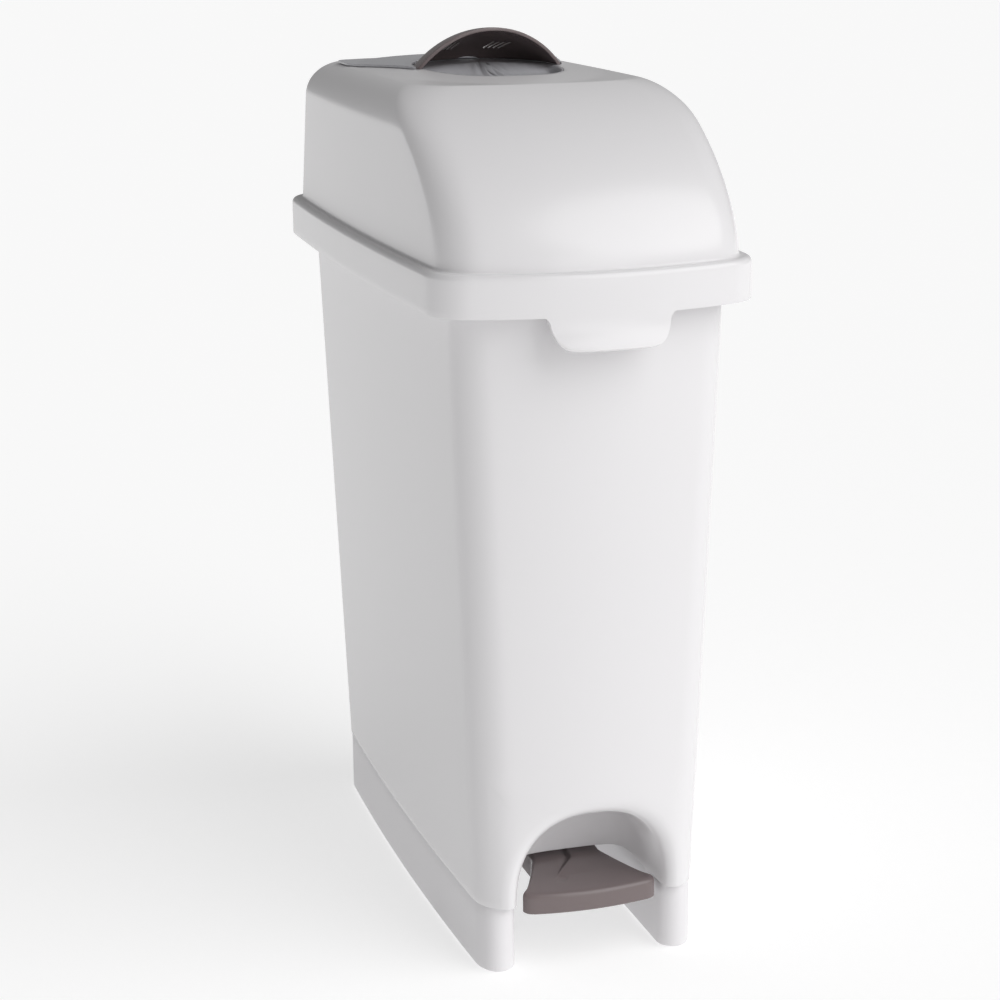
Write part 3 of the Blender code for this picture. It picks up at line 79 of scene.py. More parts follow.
PLAN_Y = plan_middle()
LID_LOW, LID_HIGH = box_mm("lid_shell")
BODY_LOW, BODY_HIGH = box_mm("body_shell")
BASE_HIGH = box_mm("base_plinth")[1]
TREAD_LOW, TREAD_HIGH = box_mm("pedal_tread")
AXLE_LOW, AXLE_HIGH = box_mm("pedal_axle")
BUFFER_TOP = box_mm("lid_buffer_left")[1].z

FRONT_STEPS = 26
FILLET_STEPS = 14
SIDE_STEPS = 22
REAR_STEPS = 16

SIDE_BOW_R = 3580.0
FRONT_BOW_R = 256.0
REAR_BOW_R = 900.0
BODY_CORNER_R = 28.0
LID_CORNER_R = 32.0

TAB_FLARE = 6.0
TAB_DROP = 19.5
TAB_HALF_WIDTH = 39.4
TAB_NARROWS = 0.1
TAB_FILLET = 3.0
LID_HALF_WIDTH = LID_HIGH.x
LID_REAR = LID_HIGH.y - PLAN_Y
LID_FRONT = PLAN_Y - LID_LOW.y - TAB_FLARE
LID_BOTTOM = LID_LOW.z + TAB_DROP
LID_WALL = 2.6
BAND_TOP = BUFFER_TOP + LID_WALL + 0.6
BAND_ROUND = 4.0
LEDGE = 7.0
CREASE = BAND_TOP + 0.9
SHOULDER_R = 26.0
SHOULDER_Z = CREASE + 73.8
SHOULDER_TOP = SHOULDER_Z + 25.6
SIDE_LEAN = 3.4
REAR_LEAN = 6.0
CROWN_RISE = 5.2
CROWN_MIDDLE = 55.0
BROW_START = 30.0
BROW_HEIGHT = 108.0
BROW_POWER = 1.7

OVERHANG = 16.2
BODY_WALL = 3.0
SIDE_DRAFT = 16.3
FRONT_DRAFT = 11.25
REAR_DRAFT = 9.8
STEP_Z = BODY_LOW.z
BASE_TOP = STEP_Z - FIT_GAP
BASE_INSET = 0.8
LEG_GAP_HALF = 50.0
LEG_NOSE_R = 11.0
REAR_CROSS_WALL = 3.0
SOLE_Z = 0.8
COLLAR_INSETS = (BODY_WALL + 0.5, BODY_WALL + 3.0)
DRILL_REACH = 60.0

NICHE_HALF_WIDTH = 50.5
NICHE_HEIGHT = 60.0
NICHE_DEPTH = 63.0
NICHE_POWER = 3.2
NICHE_ARCH_POWER = 2.4
NICHE_EDGE_LOW = 12.0
NICHE_EDGE_HIGH = 13.0
NICHE_BACK_LIFT = 13.0
NICHE_LIFT_LENGTH = 30.0
WINDOW_TOP = 134.0
WINDOW_COLUMNS = FRONT_STEPS + 6

OPENING_MIDDLE = 55.0
OPENING_HALF_WIDTH = 48.5
OPENING_FRONT = 103.0
OPENING_REAR = 82.0
OPENING_POWER = 2.6
RECESS_DEPTH = 6.0
SKIRT_DEPTH = 7.0
PLATE_THICKNESS = 1.8
PLATE_INSETS = (0.6, 0.9, 1.6, 2.6, 3.8, 5.0, 6.2, 7.6, 10.0, 14.0, 20.0, 27.0, 34.0, 41.0, 46.0)
HOOD_HALF_WIDTH = 51.0
HOOD_HEIGHT = 24.5
HOOD_FRONT = 24.0
HOOD_LENGTH = 55.0
HOOD_NOD = 9.0
HOOD_WALL = 2.0
HOOD_SEAT = 0.4
HOOD_TURN = 84.4
HOOD_TAPER = 0.7
VENTS_X = 17.0
VENTS_Y = 58.0
VENTS_RISE = 15.0
VENTS_LEAN = 45.0
APRON_HALF_WIDTH = 78.0
APRON_BACK = 150.0
APRON_CORNER = 12.0
APRON_FLARE_Y = 112.0
APRON_THICKNESS = 1.5
APRON_GAP = 1.0
PLUG_HALF_WIDTH = 28.0
PLUG_FRONT = 86.0
PLUG_BACK = 124.0

TREAD_FRONT = PLAN_Y - TREAD_LOW.y
TREAD_BACK = PLAN_Y - TREAD_HIGH.y
TREAD_HALF = TREAD_HIGH.x
TREAD_WAIST = 24.0
TREAD_CORNER = 6.0
TREAD_BOW_R = 190.0
TREAD_ROUND = 3.0
TREAD_RISE = 5.2
TREAD_WALL = 3.0
LEVER_TOP = 45.0


# ---------------------------------------------------------------- meshes


def add_object(name, data):
    obj = bpy.data.objects.new(name, data)
    bpy.context.scene.collection.objects.link(obj)
    return obj


def make_piece(name, bm, sharp=35.0, closed=True):
    """A bmesh in millimetres, from the plan's middle, made an object in metres in the frame."""
    bmesh.ops.remove_doubles(bm, verts=bm.verts, dist=0.002)
    if closed:
        bmesh.ops.recalc_face_normals(bm, faces=bm.faces)
        if bm.calc_volume(signed=True) < 0:
            bmesh.ops.reverse_faces(bm, faces=bm.faces)
    bm.transform(Matrix.Scale(MM, 4) @ Matrix.Translation((0.0, PLAN_Y, 0.0)))
    mesh = bpy.data.meshes.new(name)
    bm.to_mesh(mesh)
    bm.free()
    mesh.shade_smooth()
    mesh.set_sharp_from_angle(angle=math.radians(sharp))
    return add_object(name, mesh)


def settle(obj, sharp=35.0):
    """What the modifiers give, as a plain mesh."""
    graph = bpy.context.evaluated_depsgraph_get()
    mesh = bpy.data.meshes.new_from_object(obj.evaluated_get(graph))
    obj.modifiers.clear()
    obj.data = mesh
    mesh.shade_smooth()
    mesh.set_sharp_from_angle(angle=math.radians(sharp))
    return obj


def thicken(obj, wall):
    """Gives an outward-facing skin its wall, inwards."""
    modifier = obj.modifiers.new("wall", "SOLIDIFY")
    modifier.thickness = wall * MM
    modifier.offset = -1.0
    modifier.use_even_offset = True
    modifier.use_quality_normals = True


def soften(obj, width, angle=50.0, segments=2):
    """Rounds the edges that are sharper than an angle."""
    modifier = obj.modifiers.new("soft_edges", "BEVEL")
    modifier.width = width * MM
    modifier.segments = segments
    modifier.limit_method = "ANGLE"
    modifier.angle_limit = math.radians(angle)
    modifier.use_clamp_overlap = True
    modifier.harden_normals = False


def cut_away(obj, tool):
    """Subtracts a tool from a piece, and removes the tool."""
    modifier = obj.modifiers.new("cut", "BOOLEAN")
    modifier.operation = "DIFFERENCE"
    modifier.solver = "EXACT"
    modifier.object = tool
    settle(obj)
    bpy.data.objects.remove(tool, do_unlink=True)


def place(obj, body, slot, finish, *nodes):
    """Gives a piece its material and its body, and hides the frame nodes that it stands for; the slot
    is not used.
    """
    obj.data.materials.clear()
    obj.data.materials.append(bpy.data.materials[finish])
    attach(obj, body)
    if nodes:
        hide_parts(*nodes)
    return obj


def loft(bm, rings, caps=True, closed=True, wrap=False):
    """Quads between rings of equal length."""
    rows = [[bm.verts.new(p) for p in ring] for ring in rings]
    pairs = list(zip(rows, rows[1:]))
    if wrap:
        pairs.append((rows[-1], rows[0]))
    for low, high in pairs:
        count = len(low)
        for i in range(count if closed else count - 1):
            j = (i + 1) % count
            bm.faces.new((low[i], low[j], high[j], high[i]))
    if caps and not wrap:
        bm.faces.new(rows[0][::-1])
        bm.faces.new(rows[-1])
    return rows


def smooth_share(t):
    t = min(max(t, 0.0), 1.0)
    return t * t * (3 - 2 * t)


def mix(a, b, t):
    return [p + (q - p) * t for p, q in zip(a, b)]


def face_outward(bm):
    """Turns an open skin's faces away from its middle."""
    bm.normal_update()
    middle = sum((v.co for v in bm.verts), Vector()) / len(bm.verts)
    outward = sum(f.normal.dot(f.calc_center_median() - middle) * f.calc_area() for f in bm.faces)
    if outward < 0:
        bmesh.ops.reverse_faces(bm, faces=bm.faces)


# ---------------------------------------------------------------- plan outlines


def corner_centre(c1, r1, c2, r2):
    """The rightmost point at distance r1 from c1 and r2 from c2."""
    dx, dy = c2[0] - c1[0], c2[1] - c1[1]
    span = math.hypot(dx, dy)
    along = (r1 * r1 - r2 * r2 + span * span) / (2 * span)
    off = math.sqrt(max(r1 * r1 - along * along, 0.0))
    mx, my = c1[0] + along * dx / span, c1[1] + along * dy / span
    across, up = off * dy / span, off * dx / span
    return max((mx - across, my + up), (mx + across, my - up))


def arc(centre, radius, start, end, fractions):
    turns = [start + (end - start) * f for f in fractions]
    return [(centre[0] + radius * math.cos(a), centre[1] + radius * math.sin(a)) for a in turns]


def heading(centre, point):
    return math.atan2(point[1] - centre[1], point[0] - centre[0])


def fractions_of(count):
    return [i / count for i in range(1, count + 1)]


def front_parts(size, corner, inset=0.0):
    """The centres and radii of the front arc, the front corner and the side arc."""
    w, f = size[0] - inset, size[1] - inset
    r_side, r_front, r_corner = SIDE_BOW_R - inset, FRONT_BOW_R - inset, max(corner - inset, 3.0)
    c_side, c_front = (w - r_side, 0.0), (0.0, r_front - f)
    c_corner = corner_centre(c_front, r_front - r_corner, c_side, r_side - r_corner)
    return (c_front, r_front), (c_corner, r_corner), (c_side, r_side)


def half_outline(size, corner, inset=0.0, columns=None):
    """The right half of a plan outline, from the front centre to the rear centre."""
    front, fillet, side = front_parts(size, corner, inset)
    b, r_rear = size[2] - inset, REAR_BOW_R - inset
    c_rear = (0.0, b - r_rear)
    c_back = corner_centre(c_rear, r_rear - fillet[1], side[0], side[1] - fillet[1])
    front_end = heading(front[0], fillet[0])
    columns = columns or [0.0] + fractions_of(FRONT_STEPS)
    half = arc(*front, -math.pi / 2, front_end, columns)
    side_start = heading(side[0], fillet[0])
    half += arc(*fillet, front_end, side_start, fractions_of(FILLET_STEPS))
    half += arc(*side, side_start, heading(side[0], c_back), fractions_of(SIDE_STEPS))
    turn = heading(c_rear, c_back)
    half += arc(c_back, fillet[1], heading(side[0], c_back), turn, fractions_of(FILLET_STEPS))
    return half + arc(c_rear, r_rear, turn, math.pi / 2, fractions_of(REAR_STEPS))


def outline(size, corner, inset=0.0, columns=None):
    half = half_outline(size, corner, inset, columns)
    return half + [(-x, y) for x, y in half[-2:0:-1]]


def raised(loop, z):
    return [(x, y, z) for x, y in loop]


def body_size(z):
    """Half width, front and rear of the body's outside at a height."""
    below = (LID_BOTTOM - z) / LID_BOTTOM
    return (
        LID_HALF_WIDTH - OVERHANG - SIDE_DRAFT * below,
        LID_FRONT - OVERHANG - FRONT_DRAFT * below,
        LID_REAR - OVERHANG - REAR_DRAFT * below,
    )


def front_y(x, z):
    """The y of the body's outer front face."""
    front, fillet, _ = front_parts(body_size(z), BODY_CORNER_R)
    centre, radius = front if abs(x) < fillet[0][0] * front[1] / (front[1] - fillet[1]) else fillet
    off = min(abs(x) - centre[0], radius * 0.98)
    return centre[1] - math.sqrt(radius**2 - off**2)


# ---------------------------------------------------------------- body shell and its niche


def niche_point(kind, value, angle):
    """A point of the niche as (x, z, depth), at an angle round its arch."""
    edge_r = NICHE_EDGE_LOW + (NICHE_EDGE_HIGH - NICHE_EDGE_LOW) * math.sin(angle)
    power = 2 / NICHE_ARCH_POWER
    ax = NICHE_HALF_WIDTH * math.copysign(abs(math.cos(angle)) ** power, math.cos(angle))
    az = NICHE_HEIGHT * max(math.sin(angle), 0.0) ** power
    if kind == "edge":
        depth = edge_r * value
        grow = edge_r * (1 - math.sqrt(max(1 - (1 - value) ** 2, 0.0)))
        scale = (1 - (depth / NICHE_DEPTH) ** NICHE_POWER) ** (1 / NICHE_POWER)
        scale += grow / math.hypot(ax, az)
    else:
        low = math.asin((edge_r / NICHE_DEPTH) ** (NICHE_POWER / 2))
        turn = low + (math.pi / 2 - low) * value / 90.0
        depth = NICHE_DEPTH * math.sin(turn) ** (2 / NICHE_POWER)
        scale = math.cos(turn) ** (2 / NICHE_POWER)
    rise = (depth - NICHE_DEPTH + NICHE_LIFT_LENGTH) / (NICHE_LIFT_LENGTH - 5.0)
    return ax * scale, az * scale + NICHE_BACK_LIFT * smooth_share(rise), depth


def body_skin(bm, window_rows=16, upper_rows=26):
    """The tapered skin; rings run from a window in its grid to the back of the niche."""
    last = WINDOW_COLUMNS
    window = [STEP_Z + (WINDOW_TOP - STEP_Z) * i / window_rows for i in range(window_rows + 1)]
    levels = window + [WINDOW_TOP + (BODY_HIGH.z - WINDOW_TOP) * t for t in fractions_of(upper_rows)]
    loops = [raised(outline(body_size(z), BODY_CORNER_R), z) for z in levels]
    rows = [[bm.verts.new(p) for p in loop] for loop in loops]
    count = len(rows[0])
    for k, (low, high) in enumerate(zip(rows, rows[1:])):
        for i in range(count):
            if k < window_rows and (i < last or i >= count - last):
                continue
            j = (i + 1) % count
            bm.faces.new((low[i], low[j], high[j], high[i]))
    for row in rows[:window_rows]:
        for i in list(range(last)) + list(range(count - last + 1, count)):
            bm.verts.remove(row[i])
    border = [row[last] for row in rows[:window_rows]]
    border += [rows[window_rows][i % count] for i in range(last, -last - 1, -1)]
    border += [row[count - last] for row in rows[:window_rows]][::-1]
    heights = [(v.co.z - STEP_Z) / NICHE_HEIGHT for v in border]
    angles = [math.atan2(h, v.co.x / NICHE_HALF_WIDTH) for h, v in zip(heights, border)]
    edge = [niche_point("edge", 0.0, a) for a in angles]
    rings = [border]
    for share in (0.3, 0.55, 0.78):
        ring = []
        for v, (x, z, _) in zip(border, edge):
            px, pz = mix((v.co.x, v.co.z), (x, STEP_Z + z), share)
            ring.append(bm.verts.new((px, front_y(px, pz), pz)))
        rings.append(ring)
    kinds = [("edge", s) for s in (0.0, 0.04, 0.12, 0.25, 0.42, 0.65, 1.0)]
    kinds += [("wall", a) for a in (8, 17, 27, 38, 49, 59, 67, 74, 80, 84, 87, 89)]
    for kind, value in kinds:
        points = [niche_point(kind, value, a) for a in angles]
        points = [(x, front_y(x, STEP_Z + z) + d, STEP_Z + z) for x, z, d in points]
        rings.append([bm.verts.new(p) for p in points])
    for outer, inner in zip(rings, rings[1:]):
        for a, b, a2, b2 in zip(outer, outer[1:], inner, inner[1:]):
            bm.faces.new((a, b, b2, a2))
    centre = bm.verts.new((0.0, front_y(0.0, STEP_Z) + NICHE_DEPTH, STEP_Z + NICHE_BACK_LIFT))
    for a, b in zip(rings[-1], rings[-1][1:]):
        bm.faces.new((a, b, centre))
    bmesh.ops.recalc_face_normals(bm, faces=bm.faces)
    face_outward(bm)


def make_body_shell(shape):
    bm = bmesh.new()
    body_skin(bm)
    obj = make_piece("body_casing", bm, closed=False)
    thicken(obj, BODY_WALL)
    soften(obj, shape.edge_round / MM)
    return settle(obj, 60.0)


# ---------------------------------------------------------------- base


def runner_nose(inset):
    """The runner's round front, from its inner side to where it touches the outline's corner fillet."""
    (cx, cy), radius = front_parts(body_size(STEP_Z), BODY_CORNER_R, BASE_INSET + inset)[1]
    nose = LEG_NOSE_R - inset
    x = LEG_GAP_HALF + LEG_NOSE_R
    y = cy - math.sqrt((radius - nose) ** 2 - (x - cx) ** 2)
    return arc((x, y), nose, -math.pi, math.atan2(y - cy, x - cx), [0.0] + fractions_of(16))


def runner_loop(grow_in=0.0):
    """The U-shaped plan of the two runners and the rear cross wall, with round fronts."""
    inner = LEG_GAP_HALF + grow_in
    half = half_outline(body_size(STEP_Z), BODY_CORNER_R, BASE_INSET)
    end = runner_nose(0.0)[-1]
    first = next(i for i, p in enumerate(half) if p[1] > end[1] + 0.8)
    nose = runner_nose(grow_in)
    right = nose + half_outline(body_size(STEP_Z), BODY_CORNER_R, BASE_INSET + grow_in)[first:]
    cross = right[-1][1] - REAR_CROSS_WALL
    walls = [(inner, cross - (cross - nose[0][1]) * i / 12) for i in range(12)]
    left = [(-x, y) for x, y in right[-2::-1]]
    return walls + right + left + [(-x, y) for x, y in walls[::-1]]


def runner_rings(shape):
    """Insets and heights up the runners, with a rounded lower edge and a small step under the shell."""
    low, r = SOLE_Z, shape.sole_round / MM
    turns = [math.pi * i / 12 for i in range(7)]
    rings = [(r * (1 - math.sin(a)), low + r * (1 - math.cos(a))) for a in turns]
    rings += [(0.0, low + r + (BASE_TOP - 1.0 - low - r) * t) for t in fractions_of(5)]
    return rings + [(0.3, BASE_TOP - 0.3), (1.0, BASE_TOP)]


def base_solid(bm, shape):
    loops = [(runner_loop(inset), z) for inset, z in runner_rings(shape)]
    loft(bm, [raised(loop, z) for loop, z in loops])


def collar(bm):
    """The strip inside the shell that the base is fixed by."""
    low, high = BASE_TOP - 1.0, BASE_HIGH.z
    for side in (-1, 1):
        rings = []
        for z in (low, high):
            strips = []
            for inset in COLLAR_INSETS:
                half = half_outline(body_size(z), BODY_CORNER_R, inset)
                strips.append([(side * x, y, z) for x, y in half[FRONT_STEPS + FILLET_STEPS + 8 :]])
            rings.append(strips[0] + strips[1][::-1])
        loft(bm, rings)


def make_base(shape):
    bm = bmesh.new()
    base_solid(bm, shape)
    obj = make_piece("runner_base", bm)
    bm = bmesh.new()
    axle = ((AXLE_LOW.y + AXLE_HIGH.y) / 2 - PLAN_Y, (AXLE_LOW.z + AXLE_HIGH.z) / 2)
    radius = (AXLE_HIGH.z - AXLE_LOW.z) / 2 + FIT_GAP
    ring = arc(axle, radius, 0.0, 2 * math.pi, [i / 32 for i in range(32)])
    loft(bm, [[(x, y, z) for y, z in ring] for x in (-DRILL_REACH, DRILL_REACH)])
    cut_away(obj, make_piece("axle_drill", bm))
    bm = bmesh.new()
    bm.from_mesh(obj.data)
    extra = bmesh.new()
    collar(extra)
    band = make_piece("collar_band", extra)
    bm.from_mesh(band.data)
    bpy.data.objects.remove(band, do_unlink=True)
    bm.to_mesh(obj.data)
    bm.free()
    return settle(obj, 40.0)


# ---------------------------------------------------------------- lid


def tab_columns():
    """Columns across the front as shares of the front arc, close together at the grip tab's corners."""
    c_front, c_corner, _ = front_parts((LID_HALF_WIDTH, LID_FRONT, LID_REAR), LID_CORNER_R)
    reach = heading(c_front[0], c_corner[0]) + math.pi / 2
    xs = [TAB_HALF_WIDTH * (1 - (1 - i / 18) ** 1.8) for i in range(19)]
    xs += [TAB_HALF_WIDTH + TAB_FILLET * (i / 4) ** 0.7 for i in range(1, 5)]
    shares = [math.asin(x / FRONT_BOW_R) / reach for x in xs]
    rest = FRONT_STEPS - len(shares) + 1
    return xs, shares + [shares[-1] + (1 - shares[-1]) * i / rest for i in range(1, rest + 1)]


def lid_loop(size, inset=0.0):
    return outline(size, LID_CORNER_R, inset, tab_columns()[1])


def dome_size(z):
    """Half width, front and rear of the dome's outside at a height."""
    rise = min((z - CREASE) / (SHOULDER_Z - CREASE), 1.0)
    w = LID_HALF_WIDTH - LEDGE - SIDE_LEAN * rise
    b = LID_REAR - LEDGE - REAR_LEAN * rise
    if z > SHOULDER_Z:
        pull = SHOULDER_R - math.sqrt(max(SHOULDER_R**2 - (z - SHOULDER_Z) ** 2, 0.0))
        w, b = w - pull, b - pull
    share = (max(z - CREASE, 0.0) / BROW_HEIGHT) ** BROW_POWER
    f = BROW_START + (LID_FRONT - LEDGE - BROW_START) * (1 - share) ** (1 / BROW_POWER)
    return w, f, b


def crown_height(x, y):
    """The gently crowned top."""
    w, f, b = dome_size(SHOULDER_TOP)
    reach = f + CROWN_MIDDLE if y < CROWN_MIDDLE else b - CROWN_MIDDLE
    share = min(math.hypot(x / w, (y - CROWN_MIDDLE) / reach), 1.0)
    return SHOULDER_TOP + CROWN_RISE * (1 - share * share)


def opening_loop(ways, grow=0.0):
    """The opening in the crown, as points in the given directions from its middle."""
    loop = []
    for dx, dy in ways:
        a = OPENING_HALF_WIDTH + grow
        b = (OPENING_FRONT if dy < 0 else OPENING_REAR) + grow
        k = (abs(dx / a) ** OPENING_POWER + abs(dy / b) ** OPENING_POWER) ** (-1 / OPENING_POWER)
        loop.append((dx * k, OPENING_MIDDLE + dy * k))
    return loop


def crown_ways():
    return [(x, y - OPENING_MIDDLE) for x, y in lid_loop(dome_size(SHOULDER_TOP))]


def tab_drop(x):
    """How far the grip tab hangs below the band, with rounded corners and small fillets."""
    share = abs(x) / TAB_HALF_WIDTH
    if share >= 1.0:
        off = min((abs(x) - TAB_HALF_WIDTH) / TAB_FILLET, 1.0)
        return TAB_FILLET * (1 - math.sqrt(1 - (1 - off) ** 2))
    return max(TAB_DROP * (1 - share**9) ** 0.28, TAB_FILLET)


def add_tab(bm, row, last):
    columns = [row[i % len(row)] for i in range(-last, last + 1)]
    previous = columns
    for level in fractions_of(8):
        current = []
        for v in columns:
            drop = tab_drop(v.co.x) * level
            x = v.co.x * (1 - TAB_NARROWS * drop / TAB_DROP)
            flare = TAB_FLARE * (drop / TAB_DROP) ** 2
            hangs = tab_drop(v.co.x) > 0.01
            current.append(bm.verts.new((x, v.co.y - flare, v.co.z - drop)) if hangs else v)
        for a, b, a2, b2 in zip(previous, previous[1:], current, current[1:]):
            corners = [a2, b2, b, a]
            bm.faces.new([v for i, v in enumerate(corners) if v not in corners[:i]])
        previous = current


def lid_skin(bm, shape):
    band = (LID_HALF_WIDTH, LID_FRONT, LID_REAR)
    band_low = BAND_TOP - BAND_ROUND
    rings = [raised(lid_loop(band), LID_BOTTOM + (band_low - LID_BOTTOM) * i / 5) for i in range(5)]
    for a in [math.pi * i / 16 for i in range(9)]:
        inset = BAND_ROUND * (1 - math.cos(a))
        rings.append(raised(lid_loop(band, inset), band_low + BAND_ROUND * math.sin(a)))
    fillet = shape.crease_fillet / MM
    edge, foot = lid_loop(band, BAND_ROUND), lid_loop(dome_size(CREASE))
    for a in [math.pi * i / 12 for i in range(7)]:
        inset = LEDGE - fillet * (1 - math.sin(a))
        share = (inset - BAND_ROUND) / (LEDGE - BAND_ROUND)
        z = BAND_TOP + fillet * (1 - math.cos(a))
        rings.append([(*mix(p, q, share), z) for p, q in zip(edge, foot)])
    start = BAND_TOP + fillet
    for z in [start + (SHOULDER_Z - start) * i / 16 for i in range(1, 17)]:
        rings.append(raised(lid_loop(dome_size(z)), z))
    steepest = math.asin((SHOULDER_TOP - SHOULDER_Z) / SHOULDER_R)
    for a in [steepest * i / 18 for i in range(1, 19)]:
        z = SHOULDER_Z + SHOULDER_R * math.sin(a)
        rings.append(raised(lid_loop(dome_size(z)), z))
    top = rings[-1]
    hole = opening_loop(crown_ways())
    for share in fractions_of(14):
        ring = [mix(p, q, share) for p, q in zip(top, hole)]
        rings.append([(x, y, crown_height(x, y)) for x, y in ring])
    rows = loft(bm, rings, caps=False)
    add_tab(bm, rows[0], len(tab_columns()[0]) - 1)
    face_outward(bm)


def make_lid_shell(shape):
    bm = bmesh.new()
    lid_skin(bm, shape)
    obj = make_piece("lid_moulding", bm, closed=False)
    thicken(obj, LID_WALL)
    soften(obj, shape.edge_round / MM)
    return settle(obj, 60.0)


# ---------------------------------------------------------------- scent cover


def plate_height(x, y):
    """Level with the crown behind the hood's mouth, sunk in the finger recess in front of it."""
    return crown_height(x, y) - 0.3 - RECESS_DEPTH * smooth_share((HOOD_FRONT + 12.0 - y) / 20.0)


def recess_rings():
    """Rings from the plate's outer edge to its middle, dished by a soft slope."""
    ways = crown_ways()
    rings = []
    for inset in PLATE_INSETS:
        sink = smooth_share((inset - 0.9) / 6.0)
        ring = []
        for x, y in opening_loop(ways, -inset):
            ring.append((x, y, crown_height(x, y) * (1 - sink) + plate_height(x, y) * sink))
        rings.append(ring)
    return rings


def plate_solid(bm):
    top = recess_rings()
    under = [[(x, y, z - PLATE_THICKNESS) for x, y, z in ring] for ring in top[7:]]
    skirt_in = [(x, y, crown_height(x, y) - SKIRT_DEPTH) for x, y in opening_loop(crown_ways(), -2.4)]
    skirt = [(x, y, z - SKIRT_DEPTH) for x, y, z in top[0]]
    loft(bm, under[::-1] + [skirt_in, skirt] + top)


def hood_arch(x):
    """The height of the hood's mouth at x: a segment of a circle."""
    radius = (HOOD_HALF_WIDTH**2 + HOOD_HEIGHT**2) / (2 * HOOD_HEIGHT)
    return math.sqrt(radius**2 - x * x) - radius + HOOD_HEIGHT


def hood_skin(bm):
    """A shell-shaped hood, open at the front, standing on the crown."""
    rings = []
    for j in range(25):
        v = math.radians(HOOD_TURN * j / 24)
        ring = []
        for i in range(65):
            u = math.pi * i / 64
            x = HOOD_HALF_WIDTH * math.cos(u) * math.cos(v) ** HOOD_TAPER
            y = HOOD_FRONT + HOOD_LENGTH * math.sin(v) - HOOD_NOD * math.sin(u) * math.cos(v)
            z = hood_arch(HOOD_HALF_WIDTH * math.cos(u)) * math.cos(v)
            ring.append((x, y, crown_height(x, max(y, HOOD_FRONT)) + HOOD_SEAT + z))
        rings.append(ring)
    loft(bm, rings, caps=False, closed=False)
    face_outward(bm)


def crown_block(bm):
    """The space under the crown's surface."""
    columns = [-62.0 + 124.0 * i / 30 for i in range(31)]
    rows = []
    for y in [HOOD_FRONT - 20.0 + 95.0 * j / 24 for j in range(25)]:
        upper = [(x, y, crown_height(x, y) + HOOD_SEAT) for x in columns]
        rows.append(upper + [(x, y, BAND_TOP) for x in columns[::-1]])
    loft(bm, rows)


def make_hood(shape):
    bm = bmesh.new()
    hood_skin(bm)
    obj = make_piece("hood", bm, closed=False)
    thicken(obj, HOOD_WALL)
    settle(obj)
    bm = bmesh.new()
    crown_block(bm)
    cut_away(obj, make_piece("crown_tool", bm))
    cut_away(obj, vent_tool(shape))
    soften(obj, 0.45, 55.0)
    return settle(obj, 45.0)


def apron_front(x):
    """The apron's front edge: round the back of the hood, then flared back to the apron's corners."""
    near = HOOD_HALF_WIDTH + APRON_GAP
    if abs(x) <= near:
        bow = math.sqrt(1 - (abs(x) / near) ** (2 / HOOD_TAPER))
        return HOOD_FRONT + (HOOD_LENGTH + APRON_GAP) * bow
    return HOOD_FRONT + (APRON_FLARE_Y - HOOD_FRONT) * (abs(x) - near) / (APRON_HALF_WIDTH - near)


def apron_back(x):
    over = max(abs(x) - APRON_HALF_WIDTH + APRON_CORNER, 0.0)
    return APRON_BACK - APRON_CORNER + math.sqrt(APRON_CORNER**2 - over * over)


def apron_under(x, y):
    """The apron lies on the crown, and is joined to the plate inside the opening."""
    return -0.7 if abs(x) < PLUG_HALF_WIDTH and PLUG_FRONT < y < PLUG_BACK else HOOD_SEAT


def make_apron():
    """The thin apron round the hood's back."""
    near = HOOD_HALF_WIDTH + APRON_GAP
    columns = [near * math.sin(math.pi / 2 * i / 30) for i in range(1, 31)]
    wing = APRON_HALF_WIDTH - near
    columns += [near + wing * math.sin(math.pi / 2 * i / 18) for i in range(1, 19)]
    rings = []
    for x in [-x for x in columns[::-1]] + [0.0] + columns:
        ys = [apron_front(x) + (apron_back(x) - apron_front(x)) * i / 24 for i in range(25)]
        upper = [(x, y, crown_height(x, y) + HOOD_SEAT + APRON_THICKNESS) for y in ys]
        rings.append(upper + [(x, y, crown_height(x, y) + apron_under(x, y)) for y in ys[::-1]])
    bm = bmesh.new()
    loft(bm, rings)
    obj = make_piece("scent_apron", bm, 50.0)
    soften(obj, 0.4, 50.0)
    return settle(obj, 50.0)


def make_plate():
    bm = bmesh.new()
    plate_solid(bm)
    return make_piece("scent_plate", bm, 50.0)


# ---------------------------------------------------------------- repeated features, by geometry nodes


def wire(links, *rows):
    """Links rows of (node, output, node, input)."""
    for source, output, target, entry in rows:
        links.new(source.outputs[output], target.inputs[entry])


def new_socket(tree, name, kind, default=None, output=False):
    socket = tree.interface.new_socket(name, in_out="OUTPUT" if output else "INPUT", socket_type=kind)
    if default is not None:
        socket.default_value = default
    return socket


